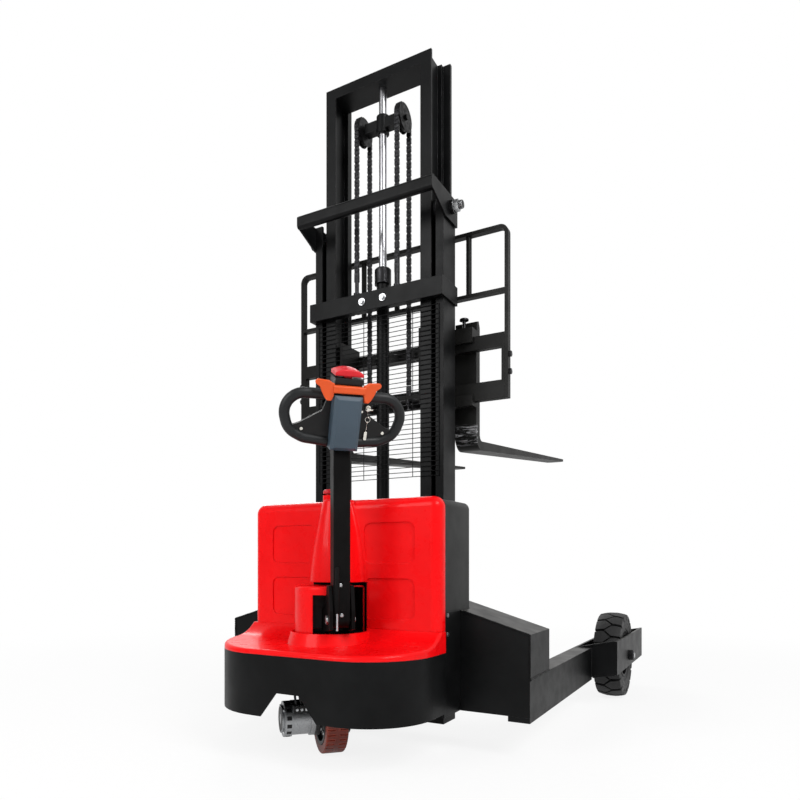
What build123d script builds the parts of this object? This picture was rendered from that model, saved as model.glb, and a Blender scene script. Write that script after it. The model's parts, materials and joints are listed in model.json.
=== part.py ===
from build123d import *
from math import cos, radians, sin, tan
import os

os.makedirs("parts", exist_ok=True)

# Rough terrain pallet stacker. Sizes are in millimetres, measured from the point on the ground below
# the steering axis: +X is the operator's right, +Y runs from the operator towards the forks, +Z is up.

# Drive unit and steering
drive_wheel_r = 125.0
drive_wheel_w = 75.0
drive_hub_r = 95.0
drive_hub_rim = 12.0
drive_hub_dish = 14.0
drive_boss_r = 34.0
drive_axle_r = 20.0
tread_grooves = 40
tread_groove_w = 4.0
tread_groove_depth = 3.0
tread_band = 8.0
steer_rest = 47.0
cheek_gap = 8.5
cheek_t = 14.0
cheek_depth = 120.0
cheek_z0 = 68.0
cheek_foot_r = 40.0
motor_r = 60.0
motor_len = 112.0
motor_flange_t = 16.0
motor_waist = 5.0
motor_end_t = 26.0
motor_cap_r = 46.0
motor_cap_t = 8.0
terminal_x = 34.0
terminal_len = 58.0
terminal_y = -44.0
terminal_w = 26.0
terminal_foot = 30.0
terminal_rise = 53.0
lead_r = 4.0
lead_pitch = 16.0
lead_bend_r = 24.0
lead_rise = 62.0
lead_drop = 30.0
lead_gland_x = -92.0
turntable_r = 98.0
turntable_h = 18.0
ring_w = 22.0
ring_h = 12.0
stem_r = 70.0
stem_wall = 20.0
bracket_top_t = 18.0
bracket_lip = 10.0
running_fit = 0.06

# Operator's end: skirt, deck and covers
front_y = -240.0
skirt_step = 6.0
skirt_corner_r = 235.0
skirt_end_y = 95.0
skirt_wall = 4.0
skirt_z0 = 158.0
skirt_z1 = 358.0
notch_z = 239.0
notch_top_half = 45.0
notch_bottom_half = 110.0
deck_plate_z = 330.0
deck_plate_t = 12.0
deck_bore_r = 96.0
deck_wall = 4.0
deck_seam_z = 428.0
deck_front_z = 374.0
deck_sweep_y = -40.0
deck_sweep_z = 385.0
deck_rim_r = 12.0
collar_r = 128.0
collar_wall = 8.0
collar_foot = 26.0
collar_z = 421.0
cover_y = 58.0
cover_half = 390.0
cover_top_z = 877.0
cover_depth = 45.0
cover_wall = 8.0
cover_corner_r = 38.0
cover_edge_r = 34.0
panel_w = 195.0
panel_h = 138.0
panel_r = 26.0
panel_x = 200.0
panel_low_z = 532.0
panel_high_z = 723.0
panel_depth = 4.0
recess_z = 588.0
recess_wall = 4.0
bulge_foot = (114.0, 92.0, 20.0, -48.0)
bulge_waist = (90.0, 68.0, 25.0, -34.0)
bulge_top = (58.0, 41.0, 28.0, -12.0)
bulge_waist_z = 770.0
bulge_top_z = 876.0
bulge_edge_r = 12.0
cabinet_end_y = 312.0
cabinet_z0 = 491.0
cabinet_top_z = 870.0
cabinet_wall = 4.0
cabinet_corner_r = 26.0
estop_x = -20.0
estop_y = 24.0
estop_travel = 5.0
estop_collar_r = 21.0
estop_collar_h = 15.0
estop_stem_r = 8.0
estop_r = 20.0
estop_cap_h = 15.0
screw_r = 7.0
screw_h = 4.0
screw_inset = 16.0
screw_low_z = 416.0
screw_high_z = 480.0

# Inside the cabinet
store_gap = 8.0
battery_x0 = -120.0
battery_side = 25.0
battery_h = 258.0
battery_corner_r = 6.0
post_r = 9.0
post_h = 12.0
post_inset = 60.0
pump_x = -190.0
pump_r = 52.0
pump_h = 178.0
manifold_w = 76.0
manifold_h = 60.0
valve_w = 68.0
valve_h = 54.0
coil_x = 18.0
coil_r = 15.0
coil_h = 46.0
tank_side = 18.0
tank_x1 = -256.0
tank_h = 308.0
filler_r = 22.0
filler_h = 26.0
controller_x = 5.0
controller_w = 210.0
controller_t = 40.0
controller_h = 160.0
controller_rise = 300.0
fin_count = 8
fin_pitch = 24.0
fin_t = 4.0
fin_reach = 13.0

# Chassis, outriggers and straddle legs
bulkhead_y = 285.0
bulkhead_t = 12.0
side_plate_t = 10.0
pad_half = 14.0
pad_z0 = 195.0
pad_z1 = 816.0
chassis_z0 = 142.0
wing_y0 = 229.0
wing_y1 = 465.0
wing_end_z = 417.0
wing_slope = 0.30
wing_plate = 8.0
wing_step = 13.0
leg_outer_x = 637.0
leg_w = 75.0
leg_z0 = 124.0
leg_z1 = 268.0
leg_wall = 6.0
pocket_front = 329.0
pocket_rear = 400.0
pocket_plate = 10.0
pocket_reach = 102.0
pocket_z0 = 153.0
pocket_z1 = 302.0

# Load wheels
load_wheel_r = 204.0
load_wheel_y = 1494.0
tyre_w = 120.0
tyre_round = 14.0
tyre_gap = 5.0
rim_r = 104.0
rim_wall = 8.0
rim_disc_t = 18.0
rim_inset = 8.0
rim_holes = 4
rim_hole_r = 15.0
wheel_hub_r = 38.0
wheel_hub_inset = 2.0
hub_play = 1.0
spacer_r = 24.0
axle_r = 12.5
stud_collar = 14.0
stud_nut_h = 18.0
stud_end = 14.0
axle_end = 24.0
washer_r = 24.0
washer_t = 4.0
axle_nut = 38.0
nut_h = 16.0
lug_count = 18
lug_groove = 17.0
lug_depth = 15.0
lug_middle = 5.0

# Mast
mast_half = 286.0
mast_y = 321.0
mast_depth = 108.0
mast_web = 10.0
mast_flange = 12.0
mast_flange_w = 32.0
mast_z0 = 75.0
mast_z1 = 2028.0
foot_t = 15.0
inner_clearance = 19.0
inner_w = 45.0
inner_web = 8.0
inner_web_in = 20.0
inner_step = 2.0
rear_lip_lap = 11.0
rear_lip_t = 14.0
rear_lip_gap = 1.5
inner_z0 = 600.0
inner_z1 = 2569.0
top_beam_h = 40.0
top_beam_front = 8.0
top_beam_floor = 14.0
lower_beam_h = 60.0
lower_beam_rise = 20.0
lower_beam_t = 22.0
beam_z0 = 1633.0
beam_z1 = 1703.0
beam_reach = 30.0
beam_plate = 8.0
beam_wrap = 4.0
beam_screw_x = 46.0
beam_screw_r = 9.0
beam_screw_h = 9.0
beam_washer_r = 14.0
beam_washer_t = 3.0
guard_y = 203.0
guard_bar_h = 51.0
guard_bar_t = 30.0
guard_plate = 8.0
guard_plate_h = 96.0
guard_round = 12.0
mesh_z0 = 977.0
mesh_z1 = 1613.0
mesh_inset = 16.0
mesh_rows = 36
mesh_columns = 6
mesh_wire = 3.0
mesh_t = 3.0

# Rollers
roller_gap = 0.3
roller_pin_r = 15.0
outer_roller_z = 1985.0
inner_roller_rise = 62.0
outer_roller_w = 26.0
inner_roller_w = 22.0
carriage_roller_w = 17.0
roller_side_gap = 2.0
inner_roller_gap = 3.5
inner_stub_gap = 3.0

# Lift cylinder and chains
barrel_r = 25.0
barrel_bore_r = 19.0
barrel_z1 = 1755.0
barrel_floor = 14.0
gland_r = 33.0
gland_h = 63.0
rod_r = 15.5
rod_z0 = 620.0
piston_h = 40.0
chain_x = 90.0
chain_r = 50.0
chain_t = 12.0
chain_w = 18.0
chain_pitch = 25.4
chain_wheel_z = 2385.0
chain_wheel_w = 24.0
chain_flange = 2.5
yoke_h = 40.0
yoke_t = 36.0
yoke_half = 75.0
yoke_collar = 10.0
yoke_collar_h = 14.0
yoke_pin_r = 10.0
anchor_r = 8.0
anchor_play = 0.5
anchor_nut_r = 13.0
anchor_nut_h = 14.0
anchor_lug = 20.0
anchor_lug_t = 4.0
anchor_tail = 22.0
anchor_eye_h = 34.0
anchor_front_z = 1800.0
anchor_rear_z = 1352.0

# Carriage, backrest and forks
bar_y = 480.0
bar_t = 28.0
bar_half = 464.0
upper_bar_z0 = 1470.0
upper_bar_z1 = 1523.0
lower_bar_z0 = 1275.0
lower_bar_z1 = 1344.0
side_clearance = 6.0
side_t = 12.0
side_y0 = 345.0
carriage_roller_z0 = 1300.0
carriage_roller_z1 = 1500.0
rest_top_z = 1930.0
rest_rail_z = 1683.0
rest_bar = 14.0
rest_rod_r = 11.0
rest_corner_r = 34.0
rest_bolt = 20.0
rest_bolt_h = 9.0
rest_bolt_gap = 30.0
end_plate_t = 12.0
tie_rise = 22.0
tie_t = 16.0
tie_reach = 14.0
cap_tie_t = 20.0
cap_tie_h = 24.0
side_drop = 15.0
side_rise = 22.0
rest_rod_x = 158.0
fork_x = 296.0
fork_w = 90.0
fork_gap = 0.6
shank_t = 37.0
shank_top_z = 1599.0
fork_z = 1093.0
fork_t = 40.0
fork_tip_t = 12.0
fork_tip_y = 1870.0
fork_rise = 4.5
hook_t = 14.0
hook_h = 34.0
lip_h = 24.0
heel_outer_r = 56.0
heel_inner_r = 24.0
tip_round = 0.36
shank_chamfer = 12.0
lock_pin_r = 7.0
lock_pitch = 50.0
lock_notch_play = 1.0
lock_notch_depth = 12.0
lock_rise = 46.0
lock_knob_r = 18.0
lock_knob_h = 7.0

# Tiller
tiller_y = -149.0
pivot_z = 470.0
pivot_pin_r = 10.0
arm_w = 56.0
arm_round = 6.0
arm_t = 54.0
arm_wall = 5.0
arm_top_z = 1064.0
arm_plug = 90.0
ear_gap = 2.5
ear_t = 12.0
ear_root_y = -58.0
ear_foot_y = -96.0
ear_step = 8.0
ear_shoulder = 25.0
ear_shoulder_rise = 56.0
ear_half = 30.0
ear_top_half = 15.0
ear_top_z = 582.0
pin_head = 5.0
pin_end = 6.0
cup_r = 121.0
cup_wall = 5.0
cup_z0 = 405.0
cup_z1 = 576.0
cup_round = 10.0
cup_slot_half = 79.0
cup_slot_z = 548.0
cup_open_x = 20.0
cup_open_y = -20.0
stem_flange_t = 6.0
bracket_t = 12.0
head_lean = 25.0
head_z = 1031.0
head_push = -24.0
web_t = 14.0
web_foot = 4.0
web_edge = ((176.0, 58.0), (139.0, 73.0), (70.0, 115.0), (60.0, 145.0))
box_half = 45.0
box_h = 172.0
box_t = 54.0
box_bevel = 11.0
loop_r = 17.0
loop_top = 165.0
loop_line = ((150.0, 165.0), (198.0, 124.0), (176.0, 48.0), (126.0, 24.0))
loop_bend_r = 60.0
loop_end_x = 46.0
loop_end_v = 16.0
neck_reach = 46.0
neck_v0 = -34.0
neck_v1 = 88.0
neck_inset = 5.0
block_h = 50.0
block_back = 42.0
block_front = 28.0
throttle_r = 14.0
throttle_bar = 23.0
throttle_corner = 5.0
throttle_n = 36.0
throttle_lift = 4.0
throttle_gap = 1.5
wing_top = ((55.0, 208.0), (64.0, 214.0), (101.0, 215.0), (108.0, 208.0), (105.0, 200.0))
wing_low = ((91.0, 192.0), (85.0, 178.0), (74.0, 160.0), (66.0, 153.0), (53.0, 153.0))
wing_foot = 170.0
wing_head = 206.0
wing_t = 12.0
wing_round = 4.0
wing_soft = 3.0
wing_sweep = 16.0
wing_lap = 5.0
belly_travel = 5.0
belly_side_h = 10.0
belly_h = 22.0
belly_round = 5.0
plunger_half = 12.0
plunger_depth = 12.0
plunger_gap = 1.0
key_x = 75.0
key_v = 132.0
key_boss_r = 17.0
key_barrel_r = 9.0
key_barrel_h = 10.0
key_r = 4.0
key_seat = 2.0
key_half = 10.0
key_t = 4.0
key_out = 30.0
head_bolt_x = 134.0
head_bolt_v = 54.0
head_bolt_r = 5.0
head_bolt_h = 4.0
lamp_x = 57.0
lamp_v = 119.0
lamp_r = 4.0
lamp_h = 4.0

# Values worked out from the driving ones
steered = Location((0, 0, 0), (0, 0, steer_rest))
mast_back_y = mast_y + mast_depth
groove = mast_depth - 2 * mast_flange
roller_y = mast_y + mast_depth / 2
roller_r = groove / 2 - roller_gap
web_face = mast_half - mast_web
flange_tip = mast_half - mast_flange_w
inner_half = flange_tip - inner_clearance
rear_lip_half = flange_tip + rear_lip_lap
mesh_half = mast_half - mesh_inset
inner_tip = inner_half - inner_w
side_x = inner_tip - side_clearance - side_t
inner_web_x0 = inner_tip + inner_web_in
inner_web_x1 = inner_web_x0 + inner_web
inner_y0 = mast_y + inner_step
inner_y1 = mast_back_y - inner_step
top_beam_z = inner_z1 - top_beam_h
inner_roller_z = inner_z0 + inner_roller_rise
bar_back_y = bar_y + bar_t
deck_top_z = deck_plate_z + deck_plate_t
skirt_half = cover_half + skirt_step
battery_x1 = cover_half - battery_side
tank_x0 = tank_side - cover_half
pocket_y0 = load_wheel_y - pocket_front
leg_end_y = load_wheel_y + pocket_rear
leg_inner_x = leg_outer_x - leg_w
plate_x0 = leg_outer_x + pocket_reach
plate_x1 = plate_x0 + pocket_plate
wheel_x = plate_x0 - tyre_gap - tyre_w / 2
cheek_x0 = drive_wheel_w / 2 + cheek_gap
cheek_x1 = cheek_x0 + cheek_t
bracket_z1 = deck_plate_z - turntable_h
bracket_z0 = bracket_z1 - bracket_top_t
stem_top_z = cup_z0 - stem_flange_t
ear_x0 = arm_w / 2 + ear_gap
ear_x1 = ear_x0 + ear_t
gland_top_z = barrel_z1 + gland_h


pieces = {}


def keep(shape, label, place=Location()):
    """Keeps a finished piece at its place; what steers is turned to its rest angle."""
    piece = place * shape
    piece.label = label
    pieces[label] = piece


def block(x0, x1, y0, y1, z0, z1, mode=Mode.ADD):
    """A plain block given by its faces."""
    with Locations(((x0 + x1) / 2, (y0 + y1) / 2, (z0 + z1) / 2)):
        Box(abs(x1 - x0), abs(y1 - y0), abs(z1 - z0), mode=mode)


def round_x(x0, x1, y, z, r, mode=Mode.ADD):
    """A round bar or bore along X."""
    with Locations(((x0 + x1) / 2, y, z)):
        Cylinder(r, abs(x1 - x0), rotation=(0, 90, 0), mode=mode)


def round_z(x, y, z0, z1, r, mode=Mode.ADD):
    """A round bar or bore along Z."""
    with Locations((x, y, (z0 + z1) / 2)):
        Cylinder(r, z1 - z0, mode=mode)


def hex_x(x0, x1, y, z, across):
    """A hexagon nut or bolt head along X."""
    with BuildSketch(Plane.YZ.offset(x0)) as hexagon:
        with Locations((y, z)):
            RegularPolygon(across / 2, 6, major_radius=False)
    extrude(hexagon.sketch, amount=x1 - x0)


def operator_plan(inset, rear_y, mode=Mode.ADD):
    """Plan of the operator's end: straight sides and front, with the two front corners rounded."""
    half = skirt_half - inset
    front = front_y + inset
    with BuildLine() as outline:
        corners = ((-half, rear_y), (-half, front), (half, front), (half, rear_y))
        FilletPolyline(*corners, radius=skirt_corner_r - inset)
        Line((half, rear_y), (-half, rear_y))
    make_face(outline.edges(), mode=mode)


def topped(half, z0, z1, corner, mode=Mode.ADD):
    """Upright rectangle with its two top corners rounded, in the active sketch."""
    with BuildLine() as outline:
        FilletPolyline((-half, z0), (-half, z1), (half, z1), (half, z0), radius=corner)
        Line((half, z0), (-half, z0))
    make_face(outline.edges(), mode=mode)


# Chassis: deck plate round the steering bearing, bulkhead, side plates and the pads that carry the mast.
with BuildPart() as chassis_frame:
    with BuildSketch(Plane.XY.offset(deck_plate_z)):
        operator_plan(skirt_wall, skirt_end_y)
        with Locations((0, (skirt_end_y + bulkhead_y) / 2)):
            Rectangle(2 * (cover_half - side_plate_t), bulkhead_y - skirt_end_y)
        Circle(deck_bore_r, mode=Mode.SUBTRACT)
    extrude(amount=deck_plate_t)
    block(-cover_half, cover_half, bulkhead_y, bulkhead_y + bulkhead_t, chassis_z0, cabinet_z0)
    upper_half = cover_half - cabinet_wall
    upper_z1 = cabinet_top_z - cabinet_wall
    with BuildSketch(Plane.XZ.offset(-bulkhead_y)):
        topped(upper_half, cabinet_z0, upper_z1, cabinet_corner_r - cabinet_wall)
    extrude(amount=-bulkhead_t)
    for side in (-1, 1):
        outer = side * cover_half
        inner = outer - side * side_plate_t
        block(inner, outer, skirt_end_y, bulkhead_y, chassis_z0, deck_seam_z)
        block(inner, outer, cover_y + cover_depth, bulkhead_y, deck_seam_z, cabinet_z0)
        pad = side * (mast_half - mast_flange_w / 2)
        block(pad - pad_half, pad + pad_half, bulkhead_y + bulkhead_t, mast_y, pad_z0, pad_z1)
keep(chassis_frame.part, "chassis_frame")

with BuildPart() as front_skirt:
    with BuildSketch(Plane.XY.offset(skirt_z0)):
        operator_plan(0, skirt_end_y)
        operator_plan(skirt_wall, skirt_end_y + skirt_wall, mode=Mode.SUBTRACT)
    extrude(amount=skirt_z1 - skirt_z0)
    with BuildSketch(Plane.XZ.offset(-front_y)):
        with BuildLine():
            Polyline(
                (-notch_bottom_half, skirt_z0),
                (-notch_top_half, notch_z),
                (notch_top_half, notch_z),
                (notch_bottom_half, skirt_z0),
                close=True,
            )
        make_face()
    extrude(amount=2 * skirt_wall, both=True, mode=Mode.SUBTRACT)
keep(front_skirt.part, "front_skirt")

# Deck cover: a lid that sweeps up to the upper cover, with a turned-down rim and a collar round the tiller.
with BuildPart() as deck_cover:
    with BuildSketch(Plane.XY.offset(skirt_z1)):
        operator_plan(0, skirt_end_y)
    extrude(amount=deck_seam_z - skirt_z1)
    clear_z = deck_seam_z + 1
    with BuildSketch(Plane.YZ):
        with BuildLine():
            floor = Line((front_y - 1, deck_front_z), (deck_sweep_y, deck_sweep_z))
            TangentArc(floor @ 1, (cover_y, deck_seam_z), tangent=floor % 1)
            Polyline((cover_y, deck_seam_z), (cover_y, clear_z), (front_y - 1, clear_z), floor @ 0)
        make_face()
    extrude(amount=skirt_half + 1, both=True, mode=Mode.SUBTRACT)
    rim = deck_cover.edges().filter_by(
        lambda e: e.center().Z > skirt_z1 + 1
        and e.center().Y < cover_y - 1
        and (abs(e.center().X) > 1 or e.center().Y < front_y + 1)
    )
    fillet(rim, radius=deck_rim_r)
    hollow_h = deck_front_z - deck_rim_r - skirt_z1
    with BuildSketch(Plane.XY.offset(skirt_z1)):
        operator_plan(deck_wall, skirt_end_y + deck_wall)
    extrude(amount=hollow_h, mode=Mode.SUBTRACT)
    collar_h = collar_z - skirt_z1
    with Locations((0, 0, skirt_z1 + collar_h / 2)):
        Cone(collar_r + collar_foot, collar_r + collar_wall, collar_h)
    behind = skirt_end_y + 2 * collar_r
    block(-skirt_half, skirt_half, skirt_end_y, behind, skirt_z1, clear_z, mode=Mode.SUBTRACT)
    round_z(0, 0, skirt_z1, clear_z, collar_r, mode=Mode.SUBTRACT)
keep(deck_cover.part, "deck_cover")


def cover_body(inset, rear_y):
    """Block of the upper cover with rounded edges; drawn in by the wall's thickness it is the hollow."""
    z0 = deck_seam_z - inset
    with BuildPart() as body:
        with BuildSketch(Plane.XZ.offset(-cover_y - inset)):
            topped(cover_half - inset, z0, cover_top_z - inset, cover_corner_r - inset)
        extrude(amount=cover_y + inset - rear_y)
        front = body.faces().sort_by(Axis.Y)[0]
        fillet(front.edges().filter_by(lambda e: e.center().Z > z0 + 1), radius=cover_edge_r - inset)
    return body.part


def bulge_plan(half, waist_x, waist_y, front):
    """Plan of the centre bulge: it flares into the face of the cover on both sides."""
    back = cover_y + cover_wall
    with BuildLine() as outline:
        Spline(
            (-half, cover_y),
            (-waist_x, waist_y),
            (0, front),
            (waist_x, waist_y),
            (half, cover_y),
            tangents=((1, 0), (1, 0)),
        )
        Polyline((half, cover_y), (half, back), (-half, back), (-half, cover_y))
    make_face(outline.edges())


# Upper cover: moulded shell with four sunk panels, a flared centre bulge and a recess for the tiller base.
with BuildPart() as upper_cover:
    add(cover_body(0, cover_y + cover_depth))
    add(cover_body(cover_wall, cover_y + cover_depth + 1), mode=Mode.SUBTRACT)
    with BuildSketch(Plane.XZ.offset(-cover_y)):
        for side in (-1, 1):
            with Locations((side * panel_x, panel_high_z), (side * panel_x, panel_low_z)):
                RectangleRounded(panel_w, panel_h, panel_r)
    extrude(amount=-panel_depth, mode=Mode.SUBTRACT)
    with BuildSketch(Plane.XY.offset(deck_seam_z)):
        Circle(collar_r + recess_wall)
        with Locations((0, cover_y + cover_wall - collar_r)):
            Rectangle(4 * collar_r, 2 * collar_r, mode=Mode.SUBTRACT)
    extrude(amount=recess_z + recess_wall - deck_seam_z)
    with BuildPart() as bulge:
        with BuildSketch(Plane.XY.offset(recess_z)):
            bulge_plan(*bulge_foot)
        with BuildSketch(Plane.XY.offset(bulge_waist_z)):
            bulge_plan(*bulge_waist)
        with BuildSketch(Plane.XY.offset(bulge_top_z)):
            bulge_plan(*bulge_top)
        loft()
        crown = bulge.edges().group_by(Axis.Z)[-1].filter_by(lambda e: e.center().Y < cover_y)
        fillet(crown.sort_by(Edge.length)[-1], radius=bulge_edge_r)
    add(bulge.part)
    round_z(0, 0, deck_seam_z - 1, recess_z, collar_r, mode=Mode.SUBTRACT)
    collar_top = bulge_top_z + estop_collar_h
    round_z(estop_x, estop_y, bulge_top_z - bulge_edge_r, collar_top, estop_collar_r)
    stem_floor = bulge_top_z - 2 * estop_travel
    round_z(estop_x, estop_y, stem_floor, collar_top + 1, estop_stem_r + running_fit, mode=Mode.SUBTRACT)
keep(upper_cover.part, "upper_cover")

with BuildPart() as rear_cabinet:
    case_y = cover_y + cover_depth
    with BuildSketch(Plane.XZ.offset(-case_y)):
        topped(cover_half, cabinet_z0, cabinet_top_z, cabinet_corner_r)
        inner_top = cabinet_top_z - cabinet_wall
        inner_corner = cabinet_corner_r - cabinet_wall
        topped(upper_half, cabinet_z0, inner_top, inner_corner, mode=Mode.SUBTRACT)
    extrude(amount=case_y - cabinet_end_y)
keep(rear_cabinet.part, "rear_cabinet")

# What the cabinet holds: battery, hydraulic power pack and motor controller.
store_y0 = collar_r + recess_wall + store_gap
store_y1 = bulkhead_y - store_gap
store_y = (store_y0 + store_y1) / 2
with BuildPart() as battery:
    battery_z1 = deck_top_z + battery_h
    block(battery_x0, battery_x1, store_y0, store_y1, deck_top_z, battery_z1)
    fillet(battery.edges().filter_by(Axis.Z), radius=battery_corner_r)
    for x in (battery_x0 + post_inset, battery_x1 - post_inset):
        round_z(x, store_y, battery_z1 - post_h, battery_z1 + post_h, post_r)
keep(battery.part, "battery")

with BuildPart() as power_pack:
    pump_z1 = deck_top_z + pump_h
    valve_z0 = pump_z1 + manifold_h
    valve_z1 = valve_z0 + valve_h
    round_z(pump_x, store_y, deck_top_z, pump_z1, pump_r)
    with Locations((pump_x, store_y, pump_z1 + manifold_h / 2)):
        Box(manifold_w, manifold_w, manifold_h)
    with Locations((pump_x, store_y, valve_z0 + valve_h / 2)):
        Box(valve_w, valve_w, valve_h)
    for side in (-1, 1):
        round_z(pump_x + side * coil_x, store_y, valve_z1, valve_z1 + coil_h, coil_r)
    tank_z1 = deck_top_z + tank_h
    block(tank_x0, tank_x1, store_y0, store_y1, deck_top_z, tank_z1)
    round_z((tank_x0 + tank_x1) / 2, store_y, tank_z1, tank_z1 + filler_h, filler_r)
keep(power_pack.part, "power_pack")

with BuildPart() as motor_controller:
    case_z0 = deck_top_z + controller_rise
    with Locations((controller_x, bulkhead_y - controller_t / 2, case_z0 + controller_h / 2)):
        Box(controller_w, controller_t, controller_h)
        with Locations((0, -(controller_t + fin_reach) / 2, 0)):
            with GridLocations(fin_pitch, 1, fin_count, 1):
                Box(fin_t, fin_reach, controller_h)
keep(motor_controller.part, "motor_controller")

# Emergency stop: a mushroom button whose stem runs in the top of the bulge.
with BuildPart() as estop_button:
    cap_z = bulge_top_z + estop_collar_h + estop_travel + 1
    round_z(estop_x, estop_y, cap_z, cap_z + estop_cap_h, estop_r)
    fillet(estop_button.edges().group_by(Axis.Z)[-1], radius=estop_cap_h * 0.55)
    round_z(estop_x, estop_y, bulge_top_z - estop_travel + 1, cap_z, estop_stem_r)
keep(estop_button.part, "estop_button")


def outrigger(side):
    """Sloping box that carries one straddle leg, open below."""
    inner_top = wing_end_z + wing_slope * (leg_outer_x - mast_half)
    with BuildPart() as wing:
        with BuildSketch(Plane.XZ.offset(-wing_y0)):
            with BuildLine():
                Polyline(
                    (side * mast_half, chassis_z0),
                    (side * leg_outer_x, chassis_z0),
                    (side * leg_outer_x, wing_end_z),
                    (side * mast_half, inner_top),
                    close=True,
                )
            make_face()
        extrude(amount=wing_y0 - wing_y1)
        step_y = cabinet_end_y + wing_step
        in_x = side * mast_half
        block(in_x, side * cover_half, wing_y0, step_y, chassis_z0 - 1, inner_top + 1, mode=Mode.SUBTRACT)
        hollow_x0 = cover_half + wing_plate
        hollow_x1 = leg_outer_x - wing_plate
        hollow_z1 = wing_end_z - wing_plate
        with BuildSketch(Plane.XZ.offset(-wing_y0 - wing_plate)):
            with BuildLine():
                Polyline(
                    (side * hollow_x0, chassis_z0),
                    (side * hollow_x1, chassis_z0),
                    (side * hollow_x1, hollow_z1),
                    (side * hollow_x0, hollow_z1 + wing_slope * (hollow_x1 - hollow_x0)),
                    close=True,
                )
            make_face()
        extrude(amount=wing_y0 - wing_y1 + 2 * wing_plate, mode=Mode.SUBTRACT)
    return wing.part


def straddle_leg(side):
    """Tube that ends at an open pocket with a plate on each side of the load wheel."""
    tube_end = pocket_y0 + pocket_plate
    with BuildPart() as leg:
        block(side * leg_inner_x, side * leg_outer_x, wing_y1, tube_end, leg_z0, leg_z1)
        block(
            side * (leg_inner_x + leg_wall),
            side * (leg_outer_x - leg_wall),
            wing_y1 - 1,
            pocket_y0,
            leg_z0 + leg_wall,
            leg_z1 - leg_wall,
            mode=Mode.SUBTRACT,
        )
        block(side * leg_inner_x, side * leg_outer_x, wing_y0, wing_y1, leg_z0, chassis_z0)
        for y in (pocket_y0, leg_end_y - pocket_plate):
            with BuildSketch(Plane.XZ.offset(-y)):
                with BuildLine():
                    Polyline(
                        (side * leg_inner_x, leg_z0),
                        (side * plate_x1, pocket_z0),
                        (side * plate_x1, pocket_z1),
                        (side * leg_inner_x, leg_z1),
                        close=True,
                    )
                make_face()
            extrude(amount=-pocket_plate)
        inner_plate = leg_inner_x + pocket_plate
        block(side * leg_inner_x, side * inner_plate, pocket_y0, leg_end_y, leg_z0, leg_z1)
        block(side * plate_x0, side * plate_x1, pocket_y0, leg_end_y, pocket_z0, pocket_z1)
        bore_x0 = side * (leg_inner_x - 1)
        bore_x1 = side * (plate_x1 + 1)
        round_x(bore_x0, bore_x1, load_wheel_y, load_wheel_r, axle_r, mode=Mode.SUBTRACT)
    return leg.part


def tyre(side):
    """Solid tyre with two staggered rows of tread blocks."""
    with BuildPart() as ring:
        with BuildSketch(Plane.XY.offset(load_wheel_r)):
            with Locations((side * wheel_x, load_wheel_y + (rim_r + load_wheel_r) / 2)):
                RectangleRounded(tyre_w, load_wheel_r - rim_r, tyre_round)
        revolve(axis=Axis((0, load_wheel_y, load_wheel_r), (1, 0, 0)))
        hub_plane = Plane((side * wheel_x, load_wheel_y, load_wheel_r), x_dir=(0, 1, 0), z_dir=(1, 0, 0))
        for row, start in ((-1, 0.0), (1, 180.0 / lug_count)):
            with BuildSketch(hub_plane.offset(row * lug_middle)):
                with PolarLocations(load_wheel_r, lug_count, start_angle=start):
                    Rectangle(2 * lug_depth, lug_groove)
            extrude(amount=row * tyre_w / 2, mode=Mode.SUBTRACT)
    return ring.part


def rim(side):
    """Steel wheel centre with its hub tube and a ring of openings."""
    half = tyre_w / 2
    hub_x = half - wheel_hub_inset
    edge_x = half - rim_inset
    with BuildPart() as disc:
        round_x(side * (wheel_x - edge_x), side * (wheel_x + edge_x), load_wheel_y, load_wheel_r, rim_r)
        for face in (-1, 1):
            inner = side * (wheel_x + face * rim_disc_t / 2)
            outer = side * (wheel_x + face * half)
            round_x(inner, outer, load_wheel_y, load_wheel_r, rim_r - rim_wall, mode=Mode.SUBTRACT)
        round_x(side * (wheel_x - hub_x), side * (wheel_x + hub_x), load_wheel_y, load_wheel_r, wheel_hub_r)
        bore = axle_r + running_fit
        bore_x0 = side * (wheel_x - half)
        bore_x1 = side * (wheel_x + half)
        round_x(bore_x0, bore_x1, load_wheel_y, load_wheel_r, bore, mode=Mode.SUBTRACT)
        hub_plane = Plane((side * wheel_x, load_wheel_y, load_wheel_r), x_dir=(0, 1, 0), z_dir=(1, 0, 0))
        with BuildSketch(hub_plane):
            with PolarLocations((wheel_hub_r + rim_r - rim_wall) / 2, rim_holes, start_angle=45):
                Circle(rim_hole_r)
        extrude(amount=rim_disc_t, both=True, mode=Mode.SUBTRACT)
    return disc.part


def upright(side):
    """Outer mast channel with its open side inwards."""
    with BuildPart() as channel:
        with BuildSketch(Plane.XY.offset(mast_z0)):
            with Locations((side * (mast_half - mast_flange_w / 2), roller_y)):
                Rectangle(mast_flange_w, mast_depth)
            with Locations((side * (flange_tip + (web_face - flange_tip) / 2), roller_y)):
                Rectangle(web_face - flange_tip, groove, mode=Mode.SUBTRACT)
        extrude(amount=mast_z1 - mast_z0)
        outside = side * (mast_half + 1)
        round_x(side * flange_tip, outside, roller_y, outer_roller_z, roller_pin_r, mode=Mode.SUBTRACT)
    return channel.part


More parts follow.
